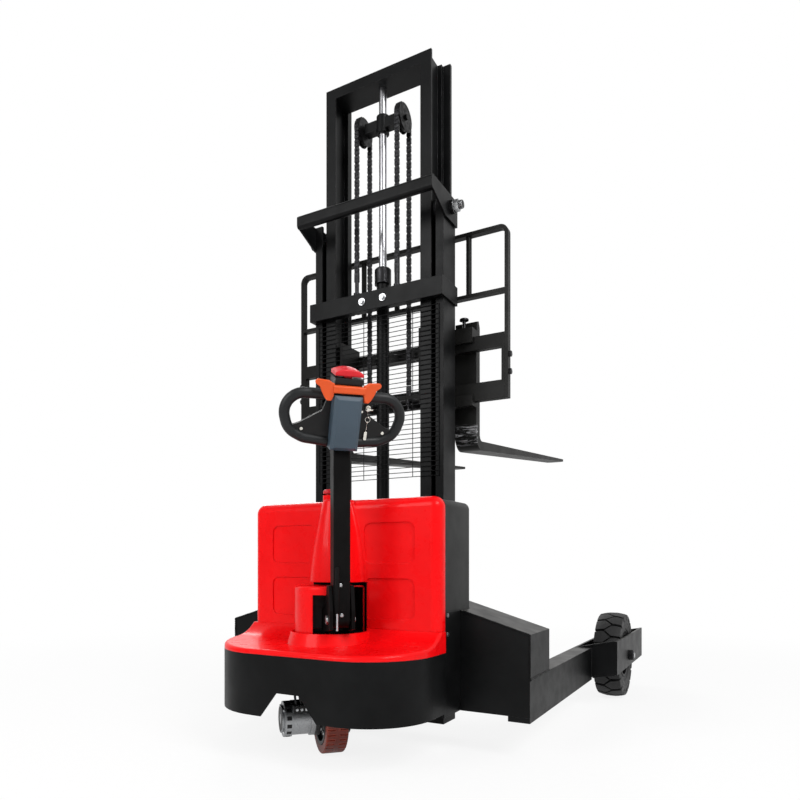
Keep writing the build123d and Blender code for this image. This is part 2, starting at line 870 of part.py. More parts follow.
def inner_upright(side):
    """Inner mast section: a roller groove on both sides of its web and a lip behind the outer channel."""
    lip_y0 = mast_back_y + rear_lip_gap
    lip_y1 = lip_y0 + rear_lip_t
    with BuildPart() as section:
        with BuildSketch(Plane.XY.offset(inner_z0)):
            with Locations((side * (inner_tip + inner_w / 2), roller_y)):
                Rectangle(inner_w, inner_y1 - inner_y0)
            with Locations((side * (inner_tip + inner_web_x0) / 2, roller_y)):
                Rectangle(inner_web_x0 - inner_tip, groove, mode=Mode.SUBTRACT)
            with Locations((side * (inner_web_x1 + inner_half) / 2, roller_y)):
                Rectangle(inner_half - inner_web_x1, groove, mode=Mode.SUBTRACT)
            with Locations((side * (inner_tip + inner_half) / 2, (inner_y1 + lip_y1) / 2)):
                Rectangle(inner_w, lip_y1 - inner_y1)
            with Locations((side * (inner_half + rear_lip_half) / 2, (lip_y0 + lip_y1) / 2)):
                Rectangle(rear_lip_half - inner_half, rear_lip_t)
        extrude(amount=inner_z1 - inner_z0)
    return section.part


def fork(side):
    """Hook-on fork arm: upright shank, two hooks and a tapering blade that rises to its tip."""
    y0 = bar_back_y + fork_gap
    y1 = y0 + shank_t
    lip_y1 = bar_y - fork_gap
    lip_y0 = lip_y1 - hook_t
    top = upper_bar_z1 + fork_gap
    low = lower_bar_z0 - fork_gap
    tip_z = fork_z + fork_t + (fork_tip_y - y1) * tan(radians(fork_rise))
    with BuildPart() as arm:
        with BuildSketch(Plane.YZ.offset(side * fork_x - fork_w / 2)):
            with BuildLine():
                Polyline(
                    (y0, low),
                    (lip_y1, low),
                    (lip_y1, low + lip_h),
                    (lip_y0, low + lip_h),
                    (lip_y0, low - hook_h / 2),
                    (y0, low - hook_h / 2),
                    close=True,
                )
            make_face()
            with BuildLine():
                Polyline(
                    (y0, fork_z),
                    (fork_tip_y, tip_z - fork_tip_t),
                    (fork_tip_y, tip_z),
                    (y1, fork_z + fork_t),
                    (y1, shank_top_z - 2 * shank_chamfer),
                    (y1 - shank_chamfer, shank_top_z),
                    (y0 + shank_chamfer / 2, shank_top_z - shank_chamfer / 2),
                    (y0 + shank_chamfer / 2, top + hook_h),
                    (lip_y0, top + hook_h),
                    (lip_y0, top - lip_h),
                    (lip_y1, top - lip_h),
                    (lip_y1, top),
                    (y0, top),
                    close=True,
                )
            make_face()
        extrude(amount=fork_w)
        tip = arm.edges().filter_by(Axis.Z).filter_by(lambda e: e.center().Y > fork_tip_y - 1)
        fillet(tip, radius=fork_w * tip_round)
        for y, z, r in ((y1, fork_z + fork_t, heel_inner_r), (y0, fork_z, heel_outer_r)):
            heel = arm.edges().filter_by(Axis.X).filter_by(
                lambda e: abs(e.center().Y - y) < 0.5 and abs(e.center().Z - z) < 0.5
            )
            fillet(heel, radius=r)
        bore = lock_pin_r + running_fit
        round_z(side * fork_x, bar_y + bar_t / 2, top - 1, top + hook_h + 1, bore, mode=Mode.SUBTRACT)
    return arm.part


def lock_pin(side):
    """Spring plunger with a knob: it drops into a notch in the upper fork bar."""
    y = bar_y + bar_t / 2
    z0 = upper_bar_z1 + fork_gap
    z1 = z0 + hook_h
    with BuildPart() as pin:
        knob_z1 = z1 + lock_rise
        round_z(side * fork_x, y, z0, knob_z1, lock_pin_r)
        round_z(side * fork_x, y, knob_z1 - lock_knob_h, knob_z1, lock_knob_r)
        fillet(pin.edges().group_by(Axis.Z)[-1], radius=lock_knob_h * 0.4)
    return pin.part


for side, hand in ((-1, "left"), (1, "right")):
    keep(tyre(side), f"load_tyre_{hand}")
    keep(rim(side), f"load_rim_{hand}")
    keep(fork(side), f"fork_{hand}")
    keep(lock_pin(side), f"fork_pin_{hand}")

with BuildPart() as outriggers:
    add(outrigger(-1))
    add(outrigger(1))
keep(outriggers.part, "outriggers")

with BuildPart() as straddle_legs:
    add(straddle_leg(-1))
    add(straddle_leg(1))
keep(straddle_legs.part, "straddle_legs")

with BuildPart() as axle_bolts:
    for side in (-1, 1):
        nut_x = plate_x1 + washer_t
        hub_face = wheel_x - tyre_w / 2 + wheel_hub_inset - hub_play
        round_x(side * leg_inner_x, side * (plate_x1 + axle_end), load_wheel_y, load_wheel_r, axle_r)
        round_x(side * (leg_inner_x + pocket_plate), side * hub_face, load_wheel_y, load_wheel_r, spacer_r)
        round_x(side * plate_x1, side * nut_x, load_wheel_y, load_wheel_r, washer_r)
        hex_x(side * nut_x, side * (nut_x + nut_h), load_wheel_y, load_wheel_r, axle_nut)
        tip = inner_web_x1 + roller_side_gap / 2
        plate = mast_half + guard_plate
        nut_x = plate + stud_collar
        stud_x = nut_x + stud_nut_h
        round_x(side * tip, side * (stud_x + stud_end), roller_y, outer_roller_z, roller_pin_r)
        round_x(side * plate, side * nut_x, roller_y, outer_roller_z, washer_r)
        hex_x(side * nut_x, side * stud_x, roller_y, outer_roller_z, axle_nut)
keep(axle_bolts.part, "axle_bolts")

# Fixed mast pieces
with BuildPart() as outer_mast:
    block(-mast_half, mast_half, mast_y, mast_back_y, mast_z0 - foot_t, mast_z0)
    add(upright(-1))
    add(upright(1))
keep(outer_mast.part, "outer_mast")

with BuildPart() as mid_beam:
    front = mast_y - beam_reach
    half = mast_half + beam_plate
    block(-half, half, front, mast_y, beam_z0, beam_z1)
    hollow_z0 = beam_z0 + beam_plate
    hollow_z1 = beam_z1 - beam_plate
    block(-mast_half, mast_half, front + beam_plate, mast_y + 1, hollow_z0, hollow_z1, mode=Mode.SUBTRACT)
    for side in (-1, 1):
        block(side * mast_half, side * half, front, mast_back_y + beam_wrap, beam_z0, beam_z1)
        lug = side * chain_x
        lug_y1 = roller_y - barrel_r - anchor_lug_t
        lug_z1 = beam_z1 + anchor_lug_t
        block(lug - anchor_lug, lug + anchor_lug, mast_y - beam_plate, lug_y1, hollow_z1, lug_z1)
        round_z(lug, roller_y - chain_r, beam_z0, lug_z1 + 1, anchor_r + anchor_play, mode=Mode.SUBTRACT)
keep(mid_beam.part, "mid_beam")

with BuildPart() as top_guard:
    half = mast_half + guard_plate
    block(-half, half, guard_y, guard_y + guard_bar_t, mast_z1 - guard_bar_h, mast_z1)
    fillet(top_guard.edges().filter_by(Axis.X), radius=guard_round)
    for side in (-1, 1):
        with BuildSketch(Plane.YZ.offset(side * mast_half)):
            with BuildLine():
                Polyline(
                    (guard_y + guard_bar_t / 2, mast_z1 - guard_bar_h),
                    (guard_y + guard_bar_t / 2, mast_z1),
                    (mast_back_y + beam_wrap, mast_z1),
                    (mast_back_y + beam_wrap, mast_z1 - guard_plate_h),
                    (mast_y, mast_z1 - guard_plate_h),
                    close=True,
                )
            make_face()
        extrude(amount=side * guard_plate)
        bore_end = side * (half + 1)
        round_x(side * (mast_half - 1), bore_end, roller_y, outer_roller_z, roller_pin_r, mode=Mode.SUBTRACT)
keep(top_guard.part, "top_guard")

with BuildPart() as mesh_guard:
    mesh_h = mesh_z1 - mesh_z0
    pitch_x = (2 * mesh_half - mesh_wire) / mesh_columns
    pitch_z = (mesh_h - mesh_wire) / mesh_rows
    with BuildSketch(Plane.XZ.offset(-mast_y)):
        with Locations((0, (mesh_z0 + mesh_z1) / 2)):
            Rectangle(2 * mesh_half, mesh_h)
            with GridLocations(pitch_x, pitch_z, mesh_columns, mesh_rows):
                Rectangle(pitch_x - mesh_wire, pitch_z - mesh_wire, mode=Mode.SUBTRACT)
    extrude(amount=mesh_t)
keep(mesh_guard.part, "mesh_guard")

with BuildPart() as frame_bolts:
    bolt_z = (beam_z0 + beam_z1) / 2
    for side in (-1, 1):
        with BuildSketch(Plane.XZ.offset(beam_reach - mast_y)):
            with Locations((side * beam_screw_x, bolt_z)):
                Circle(beam_washer_r)
        extrude(amount=beam_washer_t)
        with BuildSketch(Plane.XZ.offset(beam_reach - mast_y)):
            with Locations((side * beam_screw_x, bolt_z)):
                Circle(beam_screw_r)
        extrude(amount=beam_washer_t + beam_screw_h)
        for z in (screw_low_z, screw_high_z):
            screw_y = cover_y + cover_depth + screw_inset
            round_x(side * cover_half, side * (cover_half + screw_h), screw_y, z, screw_r)
keep(frame_bolts.part, "frame_bolts")

with BuildPart() as lift_barrel:
    round_z(0, roller_y, mast_z0, barrel_z1, barrel_r)
    round_z(0, roller_y, mast_z0 + barrel_floor, barrel_z1, barrel_bore_r, mode=Mode.SUBTRACT)
keep(lift_barrel.part, "lift_barrel")

with BuildPart() as cylinder_gland:
    round_z(0, roller_y, barrel_z1, gland_top_z, gland_r)
    chamfer(cylinder_gland.edges().group_by(Axis.Z)[-1], length=6)
    round_z(0, roller_y, barrel_z1, gland_top_z, rod_r + running_fit, mode=Mode.SUBTRACT)
keep(cylinder_gland.part, "cylinder_gland")

with BuildPart() as front_chain_anchors:
    for side in (-1, 1):
        x = side * chain_x
        y = roller_y - chain_r
        lug_z0 = beam_z1 - beam_plate
        lug_z1 = beam_z1 + anchor_lug_t
        round_z(x, y, lug_z0 - anchor_nut_h - anchor_tail, anchor_front_z - anchor_r, anchor_r)
        round_z(x, y, lug_z1, lug_z1 + anchor_nut_h, anchor_nut_r)
        round_z(x, y, lug_z0 - anchor_nut_h, lug_z0, anchor_nut_r)
        eye_z0 = anchor_front_z - anchor_eye_h
        block(x - chain_w / 2, x + chain_w / 2, y - chain_t / 2, y + chain_t / 2, eye_z0, anchor_front_z)
keep(front_chain_anchors.part, "front_chain_anchors")

# Pieces that rise with the inner mast
with BuildPart() as inner_mast:
    add(inner_upright(-1))
    add(inner_upright(1))
    block(-inner_web_x1, inner_web_x1, inner_y0, inner_y1, top_beam_z, inner_z1)
    block(
        -inner_tip,
        inner_tip,
        inner_y0 + top_beam_front,
        inner_y1 + 1,
        top_beam_z + top_beam_floor,
        inner_z1 - top_beam_front,
        mode=Mode.SUBTRACT,
    )
    low_z = inner_z0 + lower_beam_rise
    block(-inner_tip, inner_tip, inner_y1 - lower_beam_t, inner_y1, low_z, low_z + lower_beam_h)
    for side in (-1, 1):
        round_x(side * inner_web_x0, side * (web_face - inner_stub_gap), roller_y, inner_roller_z, roller_pin_r)
keep(inner_mast.part, "inner_mast")

with BuildPart() as piston_rod:
    round_z(0, roller_y, rod_z0, top_beam_z, rod_r)
    round_z(0, roller_y, rod_z0, rod_z0 + piston_h, barrel_bore_r - running_fit)
keep(piston_rod.part, "piston_rod")

with BuildPart() as chain_yoke:
    half_h = yoke_h / 2
    yoke_y0 = roller_y - yoke_t / 2
    block(-yoke_half, yoke_half, yoke_y0, yoke_y0 + yoke_t, chain_wheel_z - half_h, chain_wheel_z + half_h)
    collar_z0 = chain_wheel_z - half_h - yoke_collar_h
    collar_z1 = chain_wheel_z + half_h + yoke_collar_h
    round_z(0, roller_y, collar_z0, collar_z1, rod_r + yoke_collar)
    pin_x = chain_x + chain_wheel_w / 2 + anchor_r
    for side in (-1, 1):
        round_x(side * yoke_half, side * pin_x, roller_y, chain_wheel_z, yoke_pin_r)
    round_z(0, roller_y, collar_z0 - 1, collar_z1 + 1, rod_r, mode=Mode.SUBTRACT)
keep(chain_yoke.part, "chain_yoke")

with BuildPart() as chain_wheels:
    seat = chain_r - chain_t / 2 - roller_gap
    for side in (-1, 1):
        x0 = chain_x - chain_wheel_w / 2
        x1 = chain_x + chain_wheel_w / 2
        round_x(side * x0, side * x1, roller_y, chain_wheel_z, seat)
        round_x(side * x0, side * (x0 + chain_flange), roller_y, chain_wheel_z, chain_r + 2)
        round_x(side * (x1 - chain_flange), side * x1, roller_y, chain_wheel_z, chain_r + 2)
        bore = yoke_pin_r + running_fit
        round_x(side * (x0 - 1), side * (x1 + 1), roller_y, chain_wheel_z, bore, mode=Mode.SUBTRACT)
keep(chain_wheels.part, "chain_wheels")


def chain_run(y, z0):
    """One straight run: narrow plates with a wide link at every pitch, in the active sketch."""
    length = chain_wheel_z - z0
    links = max(2, round(length / chain_pitch))
    pitch = length / links
    with Locations((y, z0 + length / 2)):
        Rectangle(chain_t * 0.6, length)
        with GridLocations(1, pitch, 1, links):
            RectangleRounded(chain_t, pitch * 0.86, chain_t * 0.45)


with BuildPart() as lift_chains:
    with BuildSketch(Plane.YZ.offset(-chain_x - chain_w / 2), Plane.YZ.offset(chain_x - chain_w / 2)):
        with Locations((roller_y, chain_wheel_z)):
            Circle(chain_r + chain_t / 2)
            Circle(chain_r - chain_t / 2, mode=Mode.SUBTRACT)
            with Locations((0, -chain_r - chain_t)):
                Rectangle(4 * chain_r, 2 * (chain_r + chain_t), mode=Mode.SUBTRACT)
        chain_run(roller_y - chain_r, anchor_front_z)
        chain_run(roller_y + chain_r, anchor_rear_z)
    extrude(amount=chain_w)
keep(lift_chains.part, "lift_chains")

# Rollers: each coaxial pair is one node.
roller_bore = roller_pin_r + running_fit
with BuildPart() as outer_rollers:
    for side in (-1, 1):
        x0 = inner_web_x1 + roller_side_gap
        x1 = x0 + outer_roller_w
        round_x(side * x0, side * x1, roller_y, outer_roller_z, roller_r)
        round_x(side * x0, side * x1, roller_y, outer_roller_z, roller_bore, mode=Mode.SUBTRACT)
keep(outer_rollers.part, "outer_rollers")

with BuildPart() as inner_rollers:
    for side in (-1, 1):
        x1 = web_face - inner_roller_gap
        x0 = x1 - inner_roller_w
        round_x(side * x0, side * x1, roller_y, inner_roller_z, roller_r)
        round_x(side * x0, side * x1, roller_y, inner_roller_z, roller_bore, mode=Mode.SUBTRACT)
keep(inner_rollers.part, "inner_rollers")


def carriage_rollers(z):
    """The pair of carriage rollers at one height."""
    with BuildPart() as pair:
        for side in (-1, 1):
            x1 = inner_web_x0 - roller_side_gap
            x0 = x1 - carriage_roller_w
            round_x(side * x0, side * x1, roller_y, z, roller_r)
            round_x(side * x0, side * x1, roller_y, z, roller_bore, mode=Mode.SUBTRACT)
    return pair.part


keep(carriage_rollers(carriage_roller_z0), "carriage_rollers_lower")
keep(carriage_rollers(carriage_roller_z1), "carriage_rollers_upper")

# Carriage
tie_z0 = lower_bar_z0 + tie_rise
tie_z1 = tie_z0 + tie_t
with BuildPart() as carriage_frame:
    side_z0 = lower_bar_z0 - side_drop
    side_z1 = upper_bar_z1 + side_rise
    for side in (-1, 1):
        block(side * side_x, side * (side_x + side_t), side_y0, bar_y, side_z0, side_z1)
    block(-side_x, side_x, roller_y + chain_r - tie_reach, bar_y, tie_z0, tie_z1)
    block(-side_x, side_x, bar_y - cap_tie_t, bar_y, upper_bar_z0, upper_bar_z0 + cap_tie_h)
    for side in (-1, 1):
        bore = anchor_r + anchor_play
        round_z(side * chain_x, roller_y + chain_r, tie_z0 - 1, tie_z1 + 1, bore, mode=Mode.SUBTRACT)
        for z in (carriage_roller_z0, carriage_roller_z1):
            round_x(side * side_x, side * (inner_web_x0 - roller_side_gap / 2), roller_y, z, roller_pin_r)
keep(carriage_frame.part, "carriage_frame")

rest_x1 = bar_half + rest_bar
with BuildPart() as carriage_bolts:
    for side in (-1, 1):
        for z in (lower_bar_z1 + rest_bolt_gap, upper_bar_z0 - rest_bolt_gap):
            hex_x(side * rest_x1, side * (rest_x1 + rest_bolt_h), bar_y + bar_t / 2, z, rest_bolt)
        x = side * chain_x
        y = roller_y + chain_r
        round_z(x, y, tie_z0 - anchor_nut_h - anchor_tail, anchor_rear_z - anchor_r, anchor_r)
        round_z(x, y, tie_z0 - anchor_nut_h, tie_z0, anchor_nut_r)
        block(x - chain_w / 2, x + chain_w / 2, y - chain_t / 2, y + chain_t / 2, tie_z1, anchor_rear_z)
keep(carriage_bolts.part, "carriage_bolts")

with BuildPart() as fork_bars:
    block(-bar_half, bar_half, bar_y, bar_back_y, upper_bar_z0, upper_bar_z1)
    notch_r = lock_pin_r + lock_notch_play
    for side in (-1, 1):
        for step in range(-1, 3):
            x = side * (fork_x + lock_pitch * step)
            z0 = upper_bar_z1 - lock_notch_depth
            round_z(x, bar_y + bar_t / 2, z0, upper_bar_z1, notch_r, mode=Mode.SUBTRACT)
    block(-bar_half, bar_half, bar_y, bar_back_y, lower_bar_z0, lower_bar_z1)
    for side in (-1, 1):
        block(side * (bar_half - end_plate_t), side * bar_half, bar_y, bar_back_y, lower_bar_z1, upper_bar_z0)
keep(fork_bars.part, "fork_bars")

# Load backrest: a flat bar frame bolted to the end plates of the fork bars, a cross rail and five upright rods.
with BuildPart() as backrest:
    with BuildSketch(Plane.XZ.offset(-bar_y)):
        topped(rest_x1, lower_bar_z0, rest_top_z, rest_corner_r)
        inner_corner = rest_corner_r - rest_bar
        topped(bar_half, lower_bar_z0, rest_top_z - rest_bar, inner_corner, mode=Mode.SUBTRACT)
        with Locations((0, rest_rail_z)):
            Rectangle(2 * bar_half, rest_bar)
    extrude(amount=-bar_t)
    for step in range(-2, 3):
        round_z(step * rest_rod_x, bar_y + bar_t / 2, rest_rail_z, rest_top_z - rest_bar, rest_rod_r)
keep(backrest.part, "backrest")

# Steering bearing and drive unit, drawn with the wheel straight ahead and turned to the rest angle on saving
with BuildPart() as bearing_outer_ring:
    round_z(0, 0, deck_plate_z - ring_h, deck_plate_z, turntable_r + ring_w)
    round_z(0, 0, deck_plate_z - ring_h, deck_plate_z, turntable_r, mode=Mode.SUBTRACT)
keep(bearing_outer_ring.part, "bearing_outer_ring")

with BuildPart() as bearing_inner_ring:
    round_z(0, 0, bracket_z1, deck_plate_z, turntable_r - running_fit)
    round_z(0, 0, bracket_z1, deck_plate_z, stem_r, mode=Mode.SUBTRACT)
keep(bearing_inner_ring.part, "bearing_inner_ring", steered)

with BuildPart() as steer_stem:
    round_z(0, 0, bracket_z1, cup_z0, stem_r)
    round_z(0, 0, stem_top_z, cup_z0, cup_r)
    round_z(0, 0, cup_z0, cup_z0 + bracket_t, cup_r - cup_wall)
    round_z(0, 0, bracket_z1, cup_z0 + bracket_t, stem_r - stem_wall, mode=Mode.SUBTRACT)
    ear_z0 = cup_z0 + bracket_t
    for side in (-1, 1):
        with BuildSketch(Plane.YZ.offset(side * ear_x0)):
            with BuildLine():
                Polyline(
                    (ear_root_y, ear_z0),
                    (ear_foot_y, ear_z0),
                    (ear_step - cup_r, collar_z + ear_step),
                    (tiller_y - ear_half, pivot_z - ear_half),
                    (tiller_y - ear_half, pivot_z + ear_half),
                    (tiller_y - ear_top_half, ear_top_z),
                    (tiller_y + ear_top_half, ear_top_z),
                    (tiller_y + ear_shoulder, pivot_z + ear_shoulder_rise),
                    (ear_root_y - ear_step, pivot_z + ear_half),
                    close=True,
                )
            make_face()
        extrude(amount=side * ear_t)
    round_x(-ear_x1, ear_x1, tiller_y, pivot_z, pivot_pin_r, mode=Mode.SUBTRACT)
keep(steer_stem.part, "steer_stem", steered)

with BuildPart() as drive_bracket:
    round_z(0, 0, bracket_z0, bracket_z1, turntable_r + bracket_lip)
    for side in (-1, 1):
        block(side * cheek_x0, side * cheek_x1, -cheek_depth / 2, cheek_depth / 2, cheek_z0, bracket_z0)
    fillet(drive_bracket.edges().filter_by(Axis.X).group_by(Axis.Z)[0], radius=cheek_foot_r)
    round_x(-cheek_x1, cheek_x1, 0, drive_wheel_r, drive_axle_r + running_fit, mode=Mode.SUBTRACT)
keep(drive_bracket.part, "drive_bracket", steered)

motor_end = -cheek_x1 - motor_len
terminal_x0 = motor_end + terminal_x
terminal_z = drive_wheel_r + terminal_rise
with BuildPart() as traction_motor:
    flange_x = -cheek_x1 - motor_flange_t
    cap_x = motor_end + motor_cap_t
    ring_x = cap_x + motor_end_t
    round_x(-cheek_x1, flange_x, 0, drive_wheel_r, motor_r)
    round_x(flange_x, ring_x, 0, drive_wheel_r, motor_r - motor_waist)
    round_x(ring_x, cap_x, 0, drive_wheel_r, motor_r)
    round_x(cap_x, motor_end, 0, drive_wheel_r, motor_cap_r)
    strip_y0 = terminal_y - terminal_w / 2
    strip_z0 = drive_wheel_r + terminal_foot
    block(terminal_x0, terminal_x0 + terminal_len, strip_y0, strip_y0 + terminal_w, strip_z0, terminal_z)
keep(traction_motor.part, "traction_motor", steered)

with BuildPart() as motor_cables:
    for step in (-1, 0, 1):
        x = terminal_x0 + terminal_len / 2 + step * lead_pitch
        start = (x, terminal_y, terminal_z)
        with BuildLine() as lead:
            FilletPolyline(
                start,
                (x, terminal_y, terminal_z + lead_rise),
                (lead_gland_x, -step * lead_pitch, bracket_z0 - lead_drop),
                (lead_gland_x, -step * lead_pitch, bracket_z0),
                radius=lead_bend_r,
            )
        with BuildSketch(Plane(start)):
            Circle(lead_r)
        sweep(path=lead.line)
keep(motor_cables.part, "motor_cables", steered)

with BuildPart() as drive_hub:
    round_x(-drive_wheel_w / 2, drive_wheel_w / 2, 0, drive_wheel_r, drive_hub_r)
    for side in (-1, 1):
        rim_x = side * drive_wheel_w / 2
        dish_x = rim_x - side * drive_hub_dish
        round_x(dish_x, rim_x + side, 0, drive_wheel_r, drive_hub_r - drive_hub_rim, mode=Mode.SUBTRACT)
        round_x(dish_x, side * (cheek_x0 - 1), 0, drive_wheel_r, drive_boss_r)
        round_x(side * (cheek_x0 - 1), side * cheek_x1, 0, drive_wheel_r, drive_axle_r)
keep(drive_hub.part, "drive_hub", steered)

with BuildPart() as drive_tyre:
    with BuildSketch(Plane.XY.offset(drive_wheel_r)):
        with Locations((0, (drive_hub_r + drive_wheel_r) / 2)):
            RectangleRounded(drive_wheel_w, drive_wheel_r - drive_hub_r, 6)
    revolve(axis=Axis((0, 0, drive_wheel_r), (1, 0, 0)))
    for row in (-1, 1):
        with BuildSketch(Plane.YZ.offset(row * tread_band)):
            with Locations((0, drive_wheel_r)):
                with PolarLocations(drive_wheel_r, tread_grooves):
                    Rectangle(2 * tread_groove_depth, tread_groove_w)
        extrude(amount=row * drive_wheel_w, mode=Mode.SUBTRACT)
keep(drive_tyre.part, "drive_tyre", steered)

# Tiller base: red cup, open at the right, round a bracket whose two ears carry the arm.
with BuildPart() as tiller_cup:
    round_z(0, 0, cup_z0, cup_z1, cup_r)
    fillet(tiller_cup.edges().group_by(Axis.Z)[-1], radius=cup_round)
    round_z(0, 0, cup_z0, cup_z1 - cup_wall, cup_r - cup_wall, mode=Mode.SUBTRACT)
    cup_floor = cup_z0 + bracket_t
    block(-cup_slot_half, cup_slot_half, -cup_r - 1, ear_root_y, cup_floor, cup_slot_z, mode=Mode.SUBTRACT)
    block(cup_open_x, cup_r + 1, -cup_r - 1, cup_open_y, cup_floor, cup_z1 + 1, mode=Mode.SUBTRACT)
keep(tiller_cup.part, "tiller_cup", steered)

with BuildPart() as pivot_pin:
    round_x(-ear_x1 - pin_end, ear_x1 + pin_end, tiller_y, pivot_z, pivot_pin_r)
    for side in (-1, 1):
        round_x(side * ear_x1, side * (ear_x1 + pin_head), tiller_y, pivot_z, pivot_pin_r + pin_head)
keep(pivot_pin.part, "pivot_pin", steered)

# Tiller head: drawn on a plane that leans towards the operator; its x is +X and its y runs up the head.
lean = radians(head_lean)
head_origin = (0, tiller_y - arm_t / 2 - head_push, head_z)
head_plane = Plane(head_origin, x_dir=(1, 0, 0), z_dir=(0, -cos(lean), -sin(lean)))


def head_slab(x0, x1, v0, v1, n0, n1, corner=0.0, mode=Mode.ADD):
    """A block in the head's own axes: across, up the head and out of its face."""
    with BuildSketch(head_plane.offset(n0)) as slab:
        with Locations(((x0 + x1) / 2, (v0 + v1) / 2)):
            if corner > 0:
                RectangleRounded(x1 - x0, v1 - v0, corner)
            else:
                Rectangle(x1 - x0, v1 - v0)
    extrude(slab.sketch, amount=n1 - n0, mode=mode)


def head_round(x, v, n0, n1, r, mode=Mode.ADD):
    """A round boss or bore square to the head's face."""
    with BuildSketch(head_plane.offset(n0)) as disc:
        with Locations((x, v)):
            Circle(r)
    extrude(disc.sketch, amount=n1 - n0, mode=mode)


with BuildPart() as tiller_arm:
    round_x(-arm_w / 2, arm_w / 2, tiller_y, pivot_z, arm_t / 2)
    block(-arm_w / 2, arm_w / 2, tiller_y - arm_t / 2, tiller_y + arm_t / 2, pivot_z, arm_top_z)
    fillet(tiller_arm.edges().filter_by(Axis.Z), radius=arm_round)
    hollow_x = arm_w / 2 - arm_wall
    hollow_t = arm_t / 2 - arm_wall
    hollow_z0 = pivot_z + arm_t / 2 + arm_wall
    hollow_z1 = arm_top_z - arm_plug
    block(-hollow_x, hollow_x, tiller_y - hollow_t, tiller_y + hollow_t, hollow_z0, hollow_z1, mode=Mode.SUBTRACT)
    head_slab(-arm_w, arm_w, 0, box_h, -web_t, arm_plug, mode=Mode.SUBTRACT)
    neck_half = arm_w / 2 - neck_inset
    head_slab(-neck_half, neck_half, neck_v0, neck_v1, -neck_reach, -web_t)
    round_x(-arm_w / 2, arm_w / 2, tiller_y, pivot_z, pivot_pin_r + running_fit, mode=Mode.SUBTRACT)
keep(tiller_arm.part, "tiller_arm", steered)

with BuildPart() as tiller_loops:
    for side in (-1, 1):
        with BuildLine(head_plane.offset(-web_t / 2)) as loop:
            bends = [(side * x, v) for x, v in loop_line]
            FilletPolyline(
                (side * box_half, loop_top),
                *bends,
                (side * loop_end_x, loop_end_v),
                radius=loop_bend_r,
            )
        with BuildSketch(Plane(loop.line @ 0, z_dir=loop.line % 0)):
            Circle(loop_r)
        sweep(path=loop.line)
keep(tiller_loops.part, "tiller_loops", steered)

with BuildPart() as tiller_web:
    with BuildSketch(head_plane.offset(-web_t)):
        with BuildLine():
            foot = [(loop_end_x, web_foot), (loop_end_x, loop_end_v)]
            right = foot + [loop_line[3], loop_line[2]] + list(web_edge) + [(box_half, box_h)]
            left = [(-x, v) for x, v in reversed(right)]
            Polyline(*right, *left, close=True)
        make_face()
        with Locations((key_x, key_v)):
            Circle(key_boss_r)
    extrude(amount=web_t)
    add(tiller_loops.part, mode=Mode.SUBTRACT)
keep(tiller_web.part, "tiller_web", steered)

with BuildPart() as control_box:
    head_slab(-box_half, box_half, 0, box_h, 0, box_t)
    face = control_box.faces().sort_by(Axis(head_origin, tuple(head_plane.z_dir)))[-1]
    chamfer(face.edges(), length=box_bevel)
keep(control_box.part, "control_box", steered)

block_v1 = box_h + block_h
throttle_v = box_h + throttle_r + throttle_lift
socket_half = plunger_half + plunger_gap
with BuildPart() as head_block:
    behind = throttle_n - throttle_r - plunger_gap
    over = throttle_v + throttle_r + plunger_gap
    head_slab(-box_half, box_half, box_h, block_v1, -block_back, behind)
    head_slab(-box_half, box_half, over, block_v1, behind, block_front)
    socket_v = block_v1 - plunger_depth - 2 * belly_travel
    head_slab(-socket_half, socket_half, socket_v, block_v1, -socket_half, socket_half, mode=Mode.SUBTRACT)
keep(head_block.part, "head_block", steered)

with BuildPart() as belly_button:
    v0 = block_v1 + belly_travel + plunger_gap
    side_v = v0 + belly_side_h
    with BuildSketch(head_plane.offset(-block_back)):
        with BuildLine():
            Polyline((-box_half, side_v), (-box_half, v0), (box_half, v0), (box_half, side_v))
            ThreePointArc((box_half, side_v), (0, v0 + belly_h), (-box_half, side_v))
        make_face()
    extrude(amount=block_front + block_back)
    face = belly_button.faces().sort_by(Axis(head_origin, tuple(head_plane.z_dir)))[-1]
    fillet(face.edges(), radius=belly_round)
    plunger_v = block_v1 - plunger_depth
    head_slab(-plunger_half, plunger_half, plunger_v, v0 + belly_round, -plunger_half, plunger_half)
keep(belly_button.part, "belly_button", steered)

# Butterfly throttle: a bar across the head with a swept paddle for each thumb.
drum_half = box_half + throttle_gap


def paddle(side):
    """One soft-edged wing of the throttle, swept back from the end of its bar."""
    turn = radians(wing_sweep)
    outward = head_plane.x_dir * side
    normal = head_plane.z_dir * cos(turn) + outward * sin(turn)
    reach = head_plane.x_dir * cos(turn) - head_plane.z_dir * (side * sin(turn))
    root = head_plane.from_local_coords((side * drum_half, 0, throttle_n))
    with BuildPart() as wing:
        with BuildSketch(Plane(root, x_dir=reach, z_dir=normal).offset(-wing_t / 2)) as outline:
            with BuildLine():
                edge = [(side * (x - drum_half), v) for x, v in wing_top + wing_low]
                Polyline((0, wing_head), *edge, (0, wing_foot), close=True)
            make_face()
            fillet(outline.vertices(), radius=wing_round)
        extrude(amount=wing_t)
        faces = wing.faces().sort_by(Axis(root, tuple(normal)))
        fillet(faces[0].edges() + faces[-1].edges(), radius=wing_soft)
    return wing.part


with BuildPart() as throttle:
    lapped = drum_half + wing_lap
    drum_end = head_plane.offset(throttle_n).from_local_coords((-lapped, throttle_v, 0))
    with BuildSketch(Plane(drum_end, x_dir=head_plane.z_dir, z_dir=(1, 0, 0))):
        RectangleRounded(throttle_bar, throttle_bar, throttle_corner)
    extrude(amount=2 * lapped)
    add(paddle(-1))
    add(paddle(1))
keep(throttle.part, "throttle", steered)

